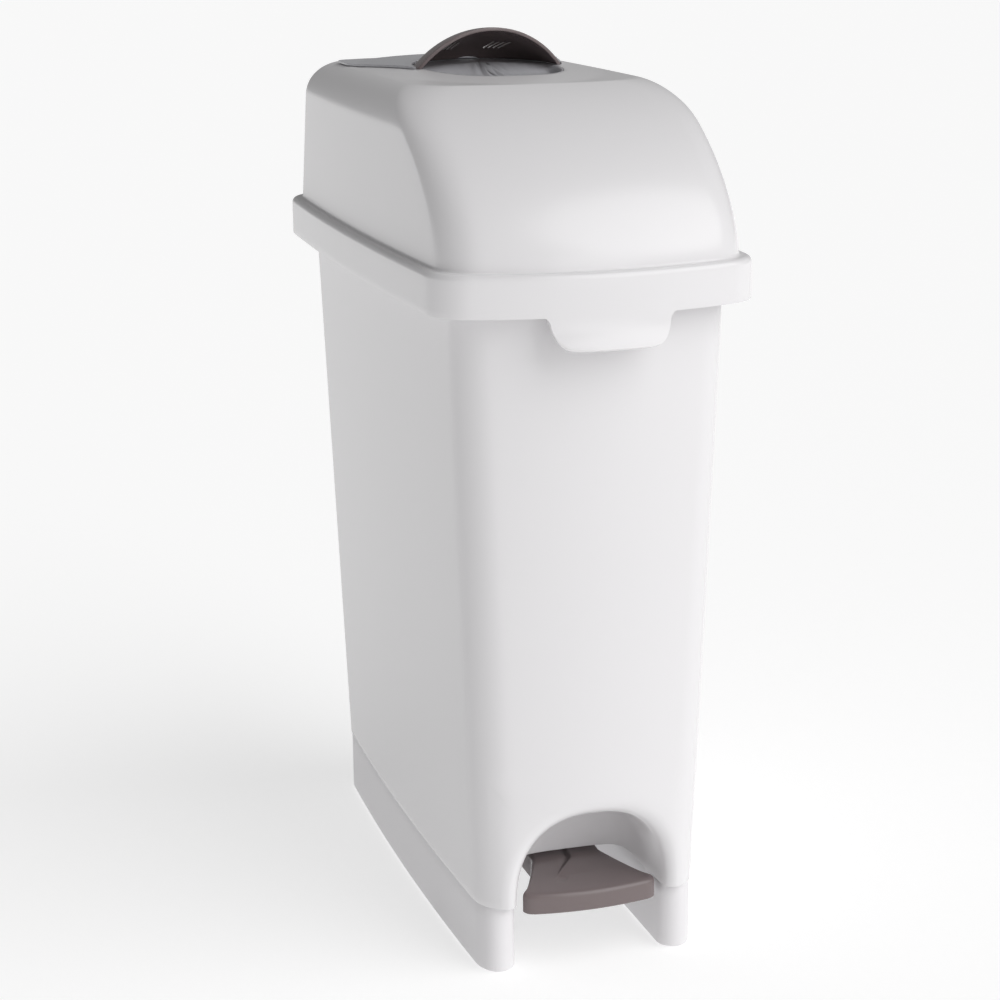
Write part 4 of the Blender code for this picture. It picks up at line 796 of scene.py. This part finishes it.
def row_tree(name):
    """A tree that puts copies of its input mesh along a row, and gives them their material."""
    tree = bpy.data.node_groups.new(name, "GeometryNodeTree")
    new_socket(tree, "Geometry", "NodeSocketGeometry", output=True)
    new_socket(tree, "Geometry", "NodeSocketGeometry")
    new_socket(tree, "Count", "NodeSocketInt", 4)
    new_socket(tree, "Start", "NodeSocketVector")
    new_socket(tree, "Pitch", "NodeSocketVector")
    new_socket(tree, "Material", "NodeSocketMaterial")
    nodes, links = tree.nodes, tree.links
    entry, leave = nodes.new("NodeGroupInput"), nodes.new("NodeGroupOutput")
    line = nodes.new("GeometryNodeMeshLine")
    copies = nodes.new("GeometryNodeInstanceOnPoints")
    real = nodes.new("GeometryNodeRealizeInstances")
    finish = nodes.new("GeometryNodeSetMaterial")
    wire(
        links,
        (entry, "Count", line, "Count"),
        (entry, "Start", line, "Start Location"),
        (entry, "Pitch", line, "Offset"),
        (line, "Mesh", copies, "Points"),
        (entry, "Geometry", copies, "Instance"),
        (copies, "Instances", real, "Geometry"),
        (real, "Geometry", finish, "Geometry"),
        (entry, "Material", finish, "Material"),
        (finish, "Geometry", leave, "Geometry"),
    )
    return tree


def repeat(obj, count, start, pitch, finish):
    """Replaces an object's mesh with a row of copies of it; start and pitch are millimetres."""
    tree = bpy.data.node_groups.get("feature_row") or row_tree("feature_row")
    modifier = obj.modifiers.new("row", "NODES")
    modifier.node_group = tree
    values = {"Count": count, "Material": bpy.data.materials[finish]}
    values |= {"Start": [v * MM for v in start], "Pitch": [v * MM for v in pitch]}
    for item in tree.interface.items_tree:
        if item.in_out == "INPUT" and item.name in values:
            modifier[item.identifier] = values[item.name]
    return settle(obj)


def bar(bm, size, turn=None):
    """A bar with softened edges, its middle at the plan's middle."""
    bmesh.ops.create_cube(bm, size=1.0, matrix=(turn or Matrix()) @ Matrix.Diagonal((*size, 1.0)))
    ease = min(size) * 0.2
    bmesh.ops.bevel(bm, geom=bm.edges[:], offset=ease, segments=2, affect="EDGES", profile=0.5)


def vent_tool(shape):
    """Two groups of slanted slots, as one cutting tool through the back of the hood."""
    parts = []
    for side in (-1, 1):
        bm = bmesh.new()
        lean = Matrix.Rotation(math.radians(VENTS_LEAN), 4, "Y")
        bar(bm, (shape.vent_width / MM, 60.0, shape.vent_length / MM), lean)
        obj = make_piece(f"vents_{side}", bm)
        pitch = shape.vent_pitch / MM
        first = side * VENTS_X - (shape.vent_count - 1) / 2 * pitch
        start = (first, VENTS_Y, SHOULDER_TOP + VENTS_RISE)
        parts.append(repeat(obj, shape.vent_count, start, (pitch, 0.0, 0.0), "taupe_gloss"))
    bm = bmesh.new()
    for part in parts:
        bm.from_mesh(part.data)
        bpy.data.objects.remove(part, do_unlink=True)
    mesh = bpy.data.meshes.new("vent_tool")
    bm.to_mesh(mesh)
    bm.free()
    return add_object("vent_tool", mesh)


def make_tread_ribs():
    """Ribs under the tread, on both sides of the lever."""
    ribs = []
    for side, name in ((-1, "left"), (1, "right")):
        bm = bmesh.new()
        bar(bm, (11.0, 1.6, 5.0))
        obj = make_piece(f"tread_ribs_{name}", bm)
        start = (side * 21.0, -176.0, LEVER_TOP - 2.3)
        ribs.append(repeat(obj, 3, start, (0.0, 8.0, 0.0), "taupe_gloss"))
    return ribs


def make_deck_ribs():
    """Cross ribs under the deck that carries the liner."""
    bm = bmesh.new()
    bar(bm, (118.0, 2.0, 7.0))
    low = box_mm("mechanism_cover")[1].z - 3.0 - 3.3
    obj = make_piece("deck_ribs", bm)
    return repeat(obj, 6, (0.0, -85.0, low), (0.0, 40.0, 0.0), "white_inner")


# ---------------------------------------------------------------- pedal tread


def tread_loop(inset=0.0):
    """Bowed front edge, rounded front corners, concave sides that run back under the niche."""
    half, corner = TREAD_HALF - inset, TREAD_CORNER
    front, back = -TREAD_FRONT + inset, -TREAD_BACK - inset
    sag = TREAD_BOW_R - math.sqrt(TREAD_BOW_R**2 - half**2)
    right = []
    for i in range(19):
        x = (half - corner) * i / 18
        right.append((x, front + TREAD_BOW_R - math.sqrt(TREAD_BOW_R**2 - x * x)))
    centre = front + sag + corner - 1.0
    for a in [math.pi / 2 * i / 8 for i in range(1, 9)]:
        right.append((half - corner + corner * math.sin(a), centre - corner * math.cos(a)))
    start = right[-1][1]
    for share in [i / 20 for i in range(1, 21)]:
        narrow = (TREAD_HALF - TREAD_WAIST) * min(1.0, 1.7 * share) ** 0.8
        right.append((half - narrow, start + (back - start) * share))
    edge = right[-1][0]
    right += [(edge * (1 - i / 9), back) for i in range(1, 9)]
    return right + [(-x, y) for x, y in right[:0:-1]]


def tread_top(y):
    top = TREAD_HIGH.z - TREAD_RISE
    return top + TREAD_RISE * (y + TREAD_FRONT) / (TREAD_FRONT - TREAD_BACK)


def tread_solid(bm):
    outer, inner = tread_loop(), tread_loop(TREAD_WALL)
    ceiling = LEVER_TOP + FIT_GAP
    rings = [raised(inner, ceiling), raised(inner, TREAD_LOW.z + 1.0)]
    rings += [raised(tread_loop(0.6), TREAD_LOW.z), raised(outer, TREAD_LOW.z + 0.6)]
    for a in [math.pi / 2 * i / 7 for i in range(8)]:
        loop = tread_loop(TREAD_ROUND * (1 - math.cos(a)))
        rings.append([(x, y, tread_top(y) - TREAD_ROUND * (1 - math.sin(a))) for x, y in loop])
    for inset in (8.0, 14.0, 20.0, 26.0):
        rings.append([(x, y, tread_top(y)) for x, y in tread_loop(inset)])
    loft(bm, rings)


def make_tread():
    bm = bmesh.new()
    tread_solid(bm)
    obj = make_piece("tread", bm)
    bm = bmesh.new()
    way = Matrix.Translation((0.0, -TREAD_BACK, LEVER_TOP - 6.0))
    bmesh.ops.create_cube(bm, size=1.0, matrix=way @ Matrix.Diagonal((26.6, 16.0, 12.6, 1.0)))
    cut_away(obj, make_piece("lever_way", bm))
    bm = bmesh.new()
    dimple_y, dimple_r = -TREAD_FRONT + 22.0, 16.0
    bmesh.ops.create_uvsphere(bm, u_segments=48, v_segments=32, radius=dimple_r)
    bm.transform(Matrix.Translation((-14.0, dimple_y, tread_top(dimple_y) + dimple_r - 0.5)))
    cut_away(obj, make_piece("dimple_tool", bm))
    return settle(obj, 32.0)


# ---------------------------------------------------------------- carried-over parts


def finished_copy(name, node, width, sharp=32.0):
    """A frame node's mesh with its loose triangles merged, its flats made whole and its edges eased."""
    mesh = frame["nodes"][node].data.copy()
    bm = bmesh.new()
    bm.from_mesh(mesh)
    bmesh.ops.remove_doubles(bm, verts=bm.verts, dist=2e-6)
    bmesh.ops.dissolve_limit(bm, angle_limit=math.radians(0.6), verts=bm.verts, edges=bm.edges)
    bm.to_mesh(mesh)
    bm.free()
    obj = add_object(name, mesh)
    soften(obj, width, 40.0)
    return settle(obj, sharp)


# ---------------------------------------------------------------- materials


def shader_group(name, inputs, outputs):
    tree = bpy.data.node_groups.new(name, "ShaderNodeTree")
    for label, kind, default in inputs:
        new_socket(tree, label, kind, default)
    for label, kind in outputs:
        new_socket(tree, label, kind, output=True)
    return tree, tree.nodes.new("NodeGroupInput"), tree.nodes.new("NodeGroupOutput")


def moulded_group():
    """Moulded plastic: slow shade drift, flow unevenness in the gloss and a fine orange-peel height."""
    floats = (("Shade Drift", 0.04), ("Roughness", 0.3), ("Gloss Drift", 0.05), ("Peel Scale", 420.0))
    inputs = [("Colour", "NodeSocketColor", (0.8, 0.8, 0.8, 1.0))]
    inputs += [(name, "NodeSocketFloat", value) for name, value in floats]
    outputs = [("Colour", "NodeSocketColor")]
    outputs += [(name, "NodeSocketFloat") for name in ("Roughness", "Height")]
    tree, entry, leave = shader_group("moulded_plastic", inputs, outputs)
    nodes, links = tree.nodes, tree.links
    coords = nodes.new("ShaderNodeTexCoord")
    slow = noise_node(nodes, 9.0, 3.0)
    flow = noise_node(nodes, 38.0, 4.0)
    peel = noise_node(nodes, 420.0, 2.0)
    for node in (slow, flow, peel):
        links.new(coords.outputs["Object"], node.inputs["Vector"])
    links.new(entry.outputs["Peel Scale"], peel.inputs["Scale"])
    drift = math_node(nodes, "MULTIPLY_ADD")
    centred = math_node(nodes, "SUBTRACT", None, 0.5)
    wire(
        links,
        (slow, "Fac", centred, 0),
        (centred, 0, drift, 0),
        (entry, "Shade Drift", drift, 1),
    )
    drift.inputs[2].default_value = 1.0
    tint = nodes.new("ShaderNodeVectorMath")
    tint.operation = "SCALE"
    links.new(entry.outputs["Colour"], tint.inputs[0])
    links.new(drift.outputs[0], tint.inputs["Scale"])
    gloss = math_node(nodes, "MULTIPLY_ADD")
    middle = math_node(nodes, "SUBTRACT", None, 0.5)
    wire(
        links,
        (flow, "Fac", middle, 0),
        (middle, 0, gloss, 0),
        (entry, "Gloss Drift", gloss, 1),
        (entry, "Roughness", gloss, 2),
        (tint, 0, leave, "Colour"),
        (gloss, 0, leave, "Roughness"),
        (peel, "Fac", leave, "Height"),
    )
    return tree


def scuff_group():
    """Short fine scratches, as a mask."""
    inputs = [("Amount", "NodeSocketFloat", 0.5), ("Scale", "NodeSocketFloat", 60.0)]
    tree, entry, leave = shader_group("fine_scuffs", inputs, [("Mask", "NodeSocketFloat")])
    nodes, links = tree.nodes, tree.links
    coords = nodes.new("ShaderNodeTexCoord")
    turn = nodes.new("ShaderNodeMapping")
    turn.inputs["Rotation"].default_value = (0.0, 0.0, 0.6)
    turn.inputs["Scale"].default_value = (1.0, 9.0, 3.0)
    lines = noise_node(nodes, 60.0, 2.0)
    patches = noise_node(nodes, 14.0, 2.0)
    sharpen = nodes.new("ShaderNodeMapRange")
    sharpen.inputs["From Min"].default_value = 0.62
    sharpen.inputs["From Max"].default_value = 0.72
    fade = math_node(nodes, "MULTIPLY")
    scaled = math_node(nodes, "MULTIPLY")
    wire(
        links,
        (coords, "Object", turn, "Vector"),
        (turn, "Vector", lines, "Vector"),
        (coords, "Object", patches, "Vector"),
        (entry, "Scale", lines, "Scale"),
        (lines, "Fac", sharpen, "Value"),
        (sharpen, "Result", fade, 0),
        (patches, "Fac", fade, 1),
        (fade, 0, scaled, 0),
        (entry, "Amount", scaled, 1),
        (scaled, 0, leave, "Mask"),
    )
    return tree


def noise_node(nodes, scale, detail):
    node = nodes.new("ShaderNodeTexNoise")
    node.inputs["Scale"].default_value = scale
    node.inputs["Detail"].default_value = detail
    return node


def math_node(nodes, operation, *values):
    node = nodes.new("ShaderNodeMath")
    node.operation = operation
    for socket, value in zip(node.inputs, values):
        if value is not None:
            socket.default_value = value
    return node


def use_group(nodes, name, **values):
    """A placed node group, with values for its inputs; underscores in the words stand for spaces."""
    node = nodes.new("ShaderNodeGroup")
    node.node_tree = bpy.data.node_groups[name]
    for word, value in values.items():
        node.inputs[word.replace("_", " ")].default_value = value
    return node


def plastic(name, colour, roughness, peel, drift, gloss_drift, scuffs=0.0, coat=0.0):
    """Moulded plastic with optional scuffs that lift the roughness."""
    material = bpy.data.materials.new(name)
    material.use_nodes = True
    nodes, links = material.node_tree.nodes, material.node_tree.links
    shader = nodes["Principled BSDF"]
    shader.inputs["IOR"].default_value = 1.5
    if coat:
        shader.inputs["Coat Weight"].default_value = coat
        shader.inputs["Coat Roughness"].default_value = 0.12
    surface = use_group(
        nodes, "moulded_plastic", Colour=(*colour, 1.0), Roughness=roughness, Shade_Drift=drift,
        Gloss_Drift=gloss_drift, Peel_Scale=peel[0],
    )
    bump = nodes.new("ShaderNodeBump")
    bump.inputs["Strength"].default_value = peel[1]
    bump.inputs["Distance"].default_value = MM
    wire(
        links,
        (surface, "Height", bump, "Height"),
        (bump, "Normal", shader, "Normal"),
        (surface, "Colour", shader, "Base Color"),
    )
    rough = surface.outputs["Roughness"]
    if scuffs:
        marks = use_group(nodes, "fine_scuffs", Amount=scuffs)
        total = math_node(nodes, "ADD")
        links.new(rough, total.inputs[0])
        links.new(marks.outputs["Mask"], total.inputs[1])
        rough = total.outputs[0]
    links.new(rough, shader.inputs["Roughness"])
    return material


def steel(name, colour, roughness):
    """Drawn and zinc-plated steel: fine streaks along the piece, faint blotches."""
    material = plastic(name, colour, roughness, (900.0, 0.05), 0.12, 0.22, scuffs=0.25)
    shader = material.node_tree.nodes["Principled BSDF"]
    shader.inputs["Metallic"].default_value = 1.0
    shader.inputs["Anisotropic"].default_value = 0.3
    return material


def build_materials(finish):
    moulded_group()
    scuff_group()
    plastic("white_shell", finish.white, finish.white_roughness, (260.0, 0.05), 0.02, 0.08)
    dull = finish.white_roughness + 0.05
    plastic("white_base", finish.white, dull, (260.0, 0.07), 0.03, 0.1, scuffs=0.25)
    plastic("white_inner", finish.inner_white, 0.5, (700.0, 0.25), 0.04, 0.1)
    gloss = finish.taupe_roughness
    plastic("taupe_gloss", finish.taupe, gloss, (300.0, 0.05), 0.06, 0.1, scuffs=0.18, coat=0.6)
    plastic("taupe_matt", finish.taupe, 0.5, (800.0, 0.3), 0.08, 0.1)
    plastic("pale_grey", finish.pale_grey, 0.3, (300.0, 0.06), 0.03, 0.08)
    plastic("liner_grey", finish.liner_grey, 0.48, (700.0, 0.3), 0.06, 0.12, scuffs=0.2)
    plastic("scent_gel", finish.gel, 0.55, (160.0, 0.9), 0.35, 0.2)
    plastic("rubber", finish.rubber, 0.75, (1200.0, 0.5), 0.2, 0.1)
    steel("steel", finish.steel, 0.3)


# ---------------------------------------------------------------- settings


def colour_setting(label, default):
    return bpy.props.FloatVectorProperty(
        name=label, description=f"Colour of the {label.lower()}", default=default,
        subtype="COLOR", size=3, min=0.0, max=1.0,
    )


def length_setting(label, note, default):
    return bpy.props.FloatProperty(
        name=label, description=note, unit="LENGTH", min=0.0, default=default
    )


def share_setting(label, note, default):
    return bpy.props.FloatProperty(
        name=label, description=note, subtype="FACTOR", min=0.0, max=1.0, default=default
    )


def level_setting(label, note, default):
    return bpy.props.FloatProperty(name=label, description=note, min=0.0, default=default)


class PEDALBIN_PG_finish(bpy.types.PropertyGroup):
    """Colours and gloss of the bin's materials."""

    white: colour_setting("White shells", (0.80, 0.785, 0.80))
    inner_white: colour_setting("White inner parts", (0.76, 0.75, 0.76))
    taupe: colour_setting("Taupe parts", (0.195, 0.160, 0.163))
    pale_grey: colour_setting("Pale scent plate", (0.60, 0.585, 0.62))
    liner_grey: colour_setting("Liner", (0.36, 0.37, 0.39))
    gel: colour_setting("Scent block", (0.35, 0.55, 0.50))
    rubber: colour_setting("Rubber pads", (0.03, 0.03, 0.035))
    steel: colour_setting("Steel parts", (0.62, 0.63, 0.65))
    white_roughness: share_setting("White roughness", "Roughness of the white shells", 0.3)
    taupe_roughness: share_setting("Taupe roughness", "Roughness of the taupe gloss parts", 0.24)


class PEDALBIN_PG_shape(bpy.types.PropertyGroup):
    """Small sizes of the mouldings."""

    edge_round: length_setting("Edge round", "Rounding of the mouldings' rims", 0.0006)
    sole_round: length_setting("Sole round", "Rounding of the runners' lower edge", 0.002)
    crease_fillet: length_setting("Crease fillet", "Fillet where the dome meets the lid's band", 0.0018)
    vent_width: length_setting("Vent width", "Width of one slot in the hood", 0.001)
    vent_length: length_setting("Vent length", "Length of one slot in the hood", 0.007)
    vent_pitch: length_setting("Vent pitch", "Distance between slots in the hood", 0.0032)
    vent_count: bpy.props.IntProperty(
        name="Vents", description="Slots in each group", min=1, max=8, default=4
    )


class PEDALBIN_PG_stage(bpy.types.PropertyGroup):
    """The studio."""

    floor_size: length_setting("Floor size", "Side of the square floor", 60.0)
    key_strength: level_setting("Key light", "Strength of the main light", 1.95)
    fill_strength: level_setting("Low fill", "Strength of the low front light", 0.35)
    sky: level_setting("Surroundings", "Brightness of the surroundings", 0.22)
    floor_glow: level_setting("Floor glow", "Light that the floor gives off", 0.62)
    lens: level_setting("Lens", "Focal length in millimetres", 85.03)


def settings():
    scene = bpy.context.scene
    return scene.pedalbin_finish, scene.pedalbin_shape, scene.pedalbin_stage


# ---------------------------------------------------------------- operators


class PEDALBIN_OT_materials(bpy.types.Operator):
    """Builds the shared node groups and the materials"""

    bl_idname = "pedalbin.materials"
    bl_label = "Materials"

    def execute(self, context):
        build_materials(settings()[0])
        return {"FINISHED"}


class PEDALBIN_OT_body(bpy.types.Operator):
    """Builds the tapered body shell with its niche"""

    bl_idname = "pedalbin.body"
    bl_label = "Body shell"

    def execute(self, context):
        obj = make_body_shell(settings()[1])
        place(obj, "bin", "white_shell", "white_shell", "body_shell")
        return {"FINISHED"}


class PEDALBIN_OT_base(bpy.types.Operator):
    """Builds the base with its two runners"""

    bl_idname = "pedalbin.base"
    bl_label = "Runner base"

    def execute(self, context):
        obj = make_base(settings()[1])
        place(obj, "bin", "white_shell", "white_base", "base_plinth")
        return {"FINISHED"}


class PEDALBIN_OT_lid(bpy.types.Operator):
    """Builds the domed lid with its band and grip tab"""

    bl_idname = "pedalbin.lid"
    bl_label = "Lid"

    def execute(self, context):
        obj = make_lid_shell(settings()[1])
        place(obj, "lid", "white_shell", "white_shell", "lid_shell")
        return {"FINISHED"}


class PEDALBIN_OT_scent_cover(bpy.types.Operator):
    """Builds the scent cover's plate and vented hood"""

    bl_idname = "pedalbin.scent_cover"
    bl_label = "Scent cover"

    def execute(self, context):
        shape = settings()[1]
        place(make_plate(), "scent_cover", "pale_grey", "pale_grey", "cover_plate")
        place(make_apron(), "scent_cover", "pale_grey", "pale_grey")
        place(make_hood(shape), "scent_cover", "taupe_gloss", "taupe_gloss", "grip_hood")
        return {"FINISHED"}


class PEDALBIN_OT_tread(bpy.types.Operator):
    """Builds the pedal tread"""

    bl_idname = "pedalbin.tread"
    bl_label = "Pedal tread"

    def execute(self, context):
        obj = make_tread()
        place(obj, "pedal", "taupe_gloss", "taupe_gloss", "pedal_tread")
        return {"FINISHED"}


class PEDALBIN_OT_ribs(bpy.types.Operator):
    """Builds the rows of ribs under the tread and the deck"""

    bl_idname = "pedalbin.ribs"
    bl_label = "Ribs"

    def execute(self, context):
        for obj in make_tread_ribs():
            place(obj, "pedal", "taupe_gloss", "taupe_gloss")
        place(make_deck_ribs(), "bin", "white_inner", "white_inner")
        return {"FINISHED"}


FINE_NODES = ("body_shell", "base_plinth", "lid_shell", "cover_plate", "grip_hood", "pedal_tread")
# how far each slot's edges are eased
EDGE_EASE = {"steel": 0.25, "white_inner": 0.4, "taupe_matt": 0.4, "liner_grey": 0.5, "scent_gel": 0.8}


class PEDALBIN_OT_inner_parts(bpy.types.Operator):
    """Finishes the remaining parts with eased edges, each in its own material"""

    bl_idname = "pedalbin.inner_parts"
    bl_label = "Inner parts and hardware"

    def execute(self, context):
        slots = {part["node"]: part["material_slot"] for part in frame["record"]["subparts"]}
        for body, members in frame["record"]["behaviour"]["bodies"].items():
            for node in members:
                if node in FINE_NODES:
                    continue
                slot = slots[node]
                obj = finished_copy(f"{node}_finished", node, EDGE_EASE.get(slot, 0.3))
                place(obj, body, slot, slot, node)
        return {"FINISHED"}


class PEDALBIN_OT_stage(bpy.types.Operator):
    """Builds the floor, the lights and the camera"""

    bl_idname = "pedalbin.stage"
    bl_label = "Studio"

    def execute(self, context):
        stage = settings()[2]
        make_floor(stage)
        make_lights(stage)
        make_camera(stage)
        return {"FINISHED"}


def make_floor(stage):
    bm = bmesh.new()
    bmesh.ops.create_grid(bm, x_segments=1, y_segments=1, size=stage.floor_size / 2)
    mesh = bpy.data.meshes.new("floor")
    bm.to_mesh(mesh)
    bm.free()
    floor = add_object("floor", mesh)
    material = bpy.data.materials.new("studio_floor")
    material.use_nodes = True
    shader = material.node_tree.nodes["Principled BSDF"]
    shader.inputs["Base Color"].default_value = (0.5, 0.5, 0.5, 1.0)
    shader.inputs["Roughness"].default_value = 0.9
    shader.inputs["Specular IOR Level"].default_value = 0.1
    shader.inputs["Emission Color"].default_value = (1.0, 1.0, 1.0, 1.0)
    shader.inputs["Emission Strength"].default_value = stage.floor_glow
    mesh.materials.append(material)


# each sun's spread in degrees and the direction that it shines from
SUNS = {"key_light": (60.0, (0.5, -0.5, 0.62)), "low_fill": (30.0, (0.25, -0.95, 0.12))}


def make_lights(stage):
    strengths = {"key_light": stage.key_strength, "low_fill": stage.fill_strength}
    for name, (spread, place) in SUNS.items():
        sun = bpy.data.lights.new(name, "SUN")
        sun.energy = strengths[name]
        sun.angle = math.radians(spread)
        lamp = add_object(name, sun)
        lamp.rotation_euler = Vector(place).to_track_quat("Z", "Y").to_euler()
    world = bpy.data.worlds.new("studio")
    bpy.context.scene.world = world
    world.use_nodes = True
    nodes, links = world.node_tree.nodes, world.node_tree.links
    back = nodes["Background"]
    path = nodes.new("ShaderNodeLightPath")
    level = nodes.new("ShaderNodeMapRange")
    level.inputs["To Min"].default_value = stage.sky
    level.inputs["To Max"].default_value = 1.0
    links.new(path.outputs["Is Camera Ray"], level.inputs["Value"])
    links.new(level.outputs["Result"], back.inputs["Strength"])
    back.inputs["Color"].default_value = (1.0, 1.0, 1.0, 1.0)
    bpy.context.scene.view_settings.view_transform = "Standard"


CAMERA_PLACE = (-0.4772, -1.5310, 0.6905)
CAMERA_AZIMUTH, CAMERA_ELEVATION, CAMERA_ROLL = -17.14, 14.66, -0.53


def make_camera(stage):
    data = bpy.data.cameras.new("camera")
    data.lens = stage.lens
    data.clip_end = 200.0
    camera = add_object("camera", data)
    a, e, r = (math.radians(v) for v in (CAMERA_AZIMUTH, CAMERA_ELEVATION, CAMERA_ROLL))
    back = Vector((math.sin(a) * math.cos(e), -math.cos(a) * math.cos(e), math.sin(e)))
    right = Vector((math.cos(a), math.sin(a), 0.0))
    up = back.cross(right)
    turned = right * math.cos(r) + up * math.sin(r)
    raised_up = up * math.cos(r) - right * math.sin(r)
    camera.matrix_world = Matrix((turned, raised_up, back)).transposed().to_4x4()
    camera.location = CAMERA_PLACE
    bpy.context.scene.camera = camera


class PEDALBIN_PT_panel(bpy.types.Panel):
    """Lists the steps and their settings"""

    bl_label = "Pedal bin"
    bl_idname = "PEDALBIN_PT_panel"
    bl_space_type = "VIEW_3D"
    bl_region_type = "UI"
    bl_category = "Pedal bin"

    def draw(self, context):
        for step in STEPS:
            self.layout.operator(step.bl_idname)
        for group in settings():
            for name in group.__annotations__:
                self.layout.prop(group, name)


STEPS = (
    PEDALBIN_OT_stage,
    PEDALBIN_OT_materials,
    PEDALBIN_OT_body,
    PEDALBIN_OT_base,
    PEDALBIN_OT_lid,
    PEDALBIN_OT_scent_cover,
    PEDALBIN_OT_tread,
    PEDALBIN_OT_ribs,
    PEDALBIN_OT_inner_parts,
)
GROUPS = (PEDALBIN_PG_finish, PEDALBIN_PG_shape, PEDALBIN_PG_stage)


def register():
    for cls in (*GROUPS, *STEPS, PEDALBIN_PT_panel):
        bpy.utils.register_class(cls)
    bpy.types.Scene.pedalbin_finish = bpy.props.PointerProperty(type=PEDALBIN_PG_finish)
    bpy.types.Scene.pedalbin_shape = bpy.props.PointerProperty(type=PEDALBIN_PG_shape)
    bpy.types.Scene.pedalbin_stage = bpy.props.PointerProperty(type=PEDALBIN_PG_stage)


def unregister():
    for name in ("pedalbin_finish", "pedalbin_shape", "pedalbin_stage"):
        delattr(bpy.types.Scene, name)
    for cls in (PEDALBIN_PT_panel, *STEPS[::-1], *GROUPS[::-1]):
        bpy.utils.unregister_class(cls)


def main():
    register()
    bpy.ops.pedalbin.stage()
    bpy.ops.pedalbin.materials()
    bpy.ops.pedalbin.body()
    bpy.ops.pedalbin.base()
    bpy.ops.pedalbin.lid()
    bpy.ops.pedalbin.scent_cover()
    bpy.ops.pedalbin.tread()
    bpy.ops.pedalbin.ribs()
    bpy.ops.pedalbin.inner_parts()


if __name__ == "__main__":
    main()
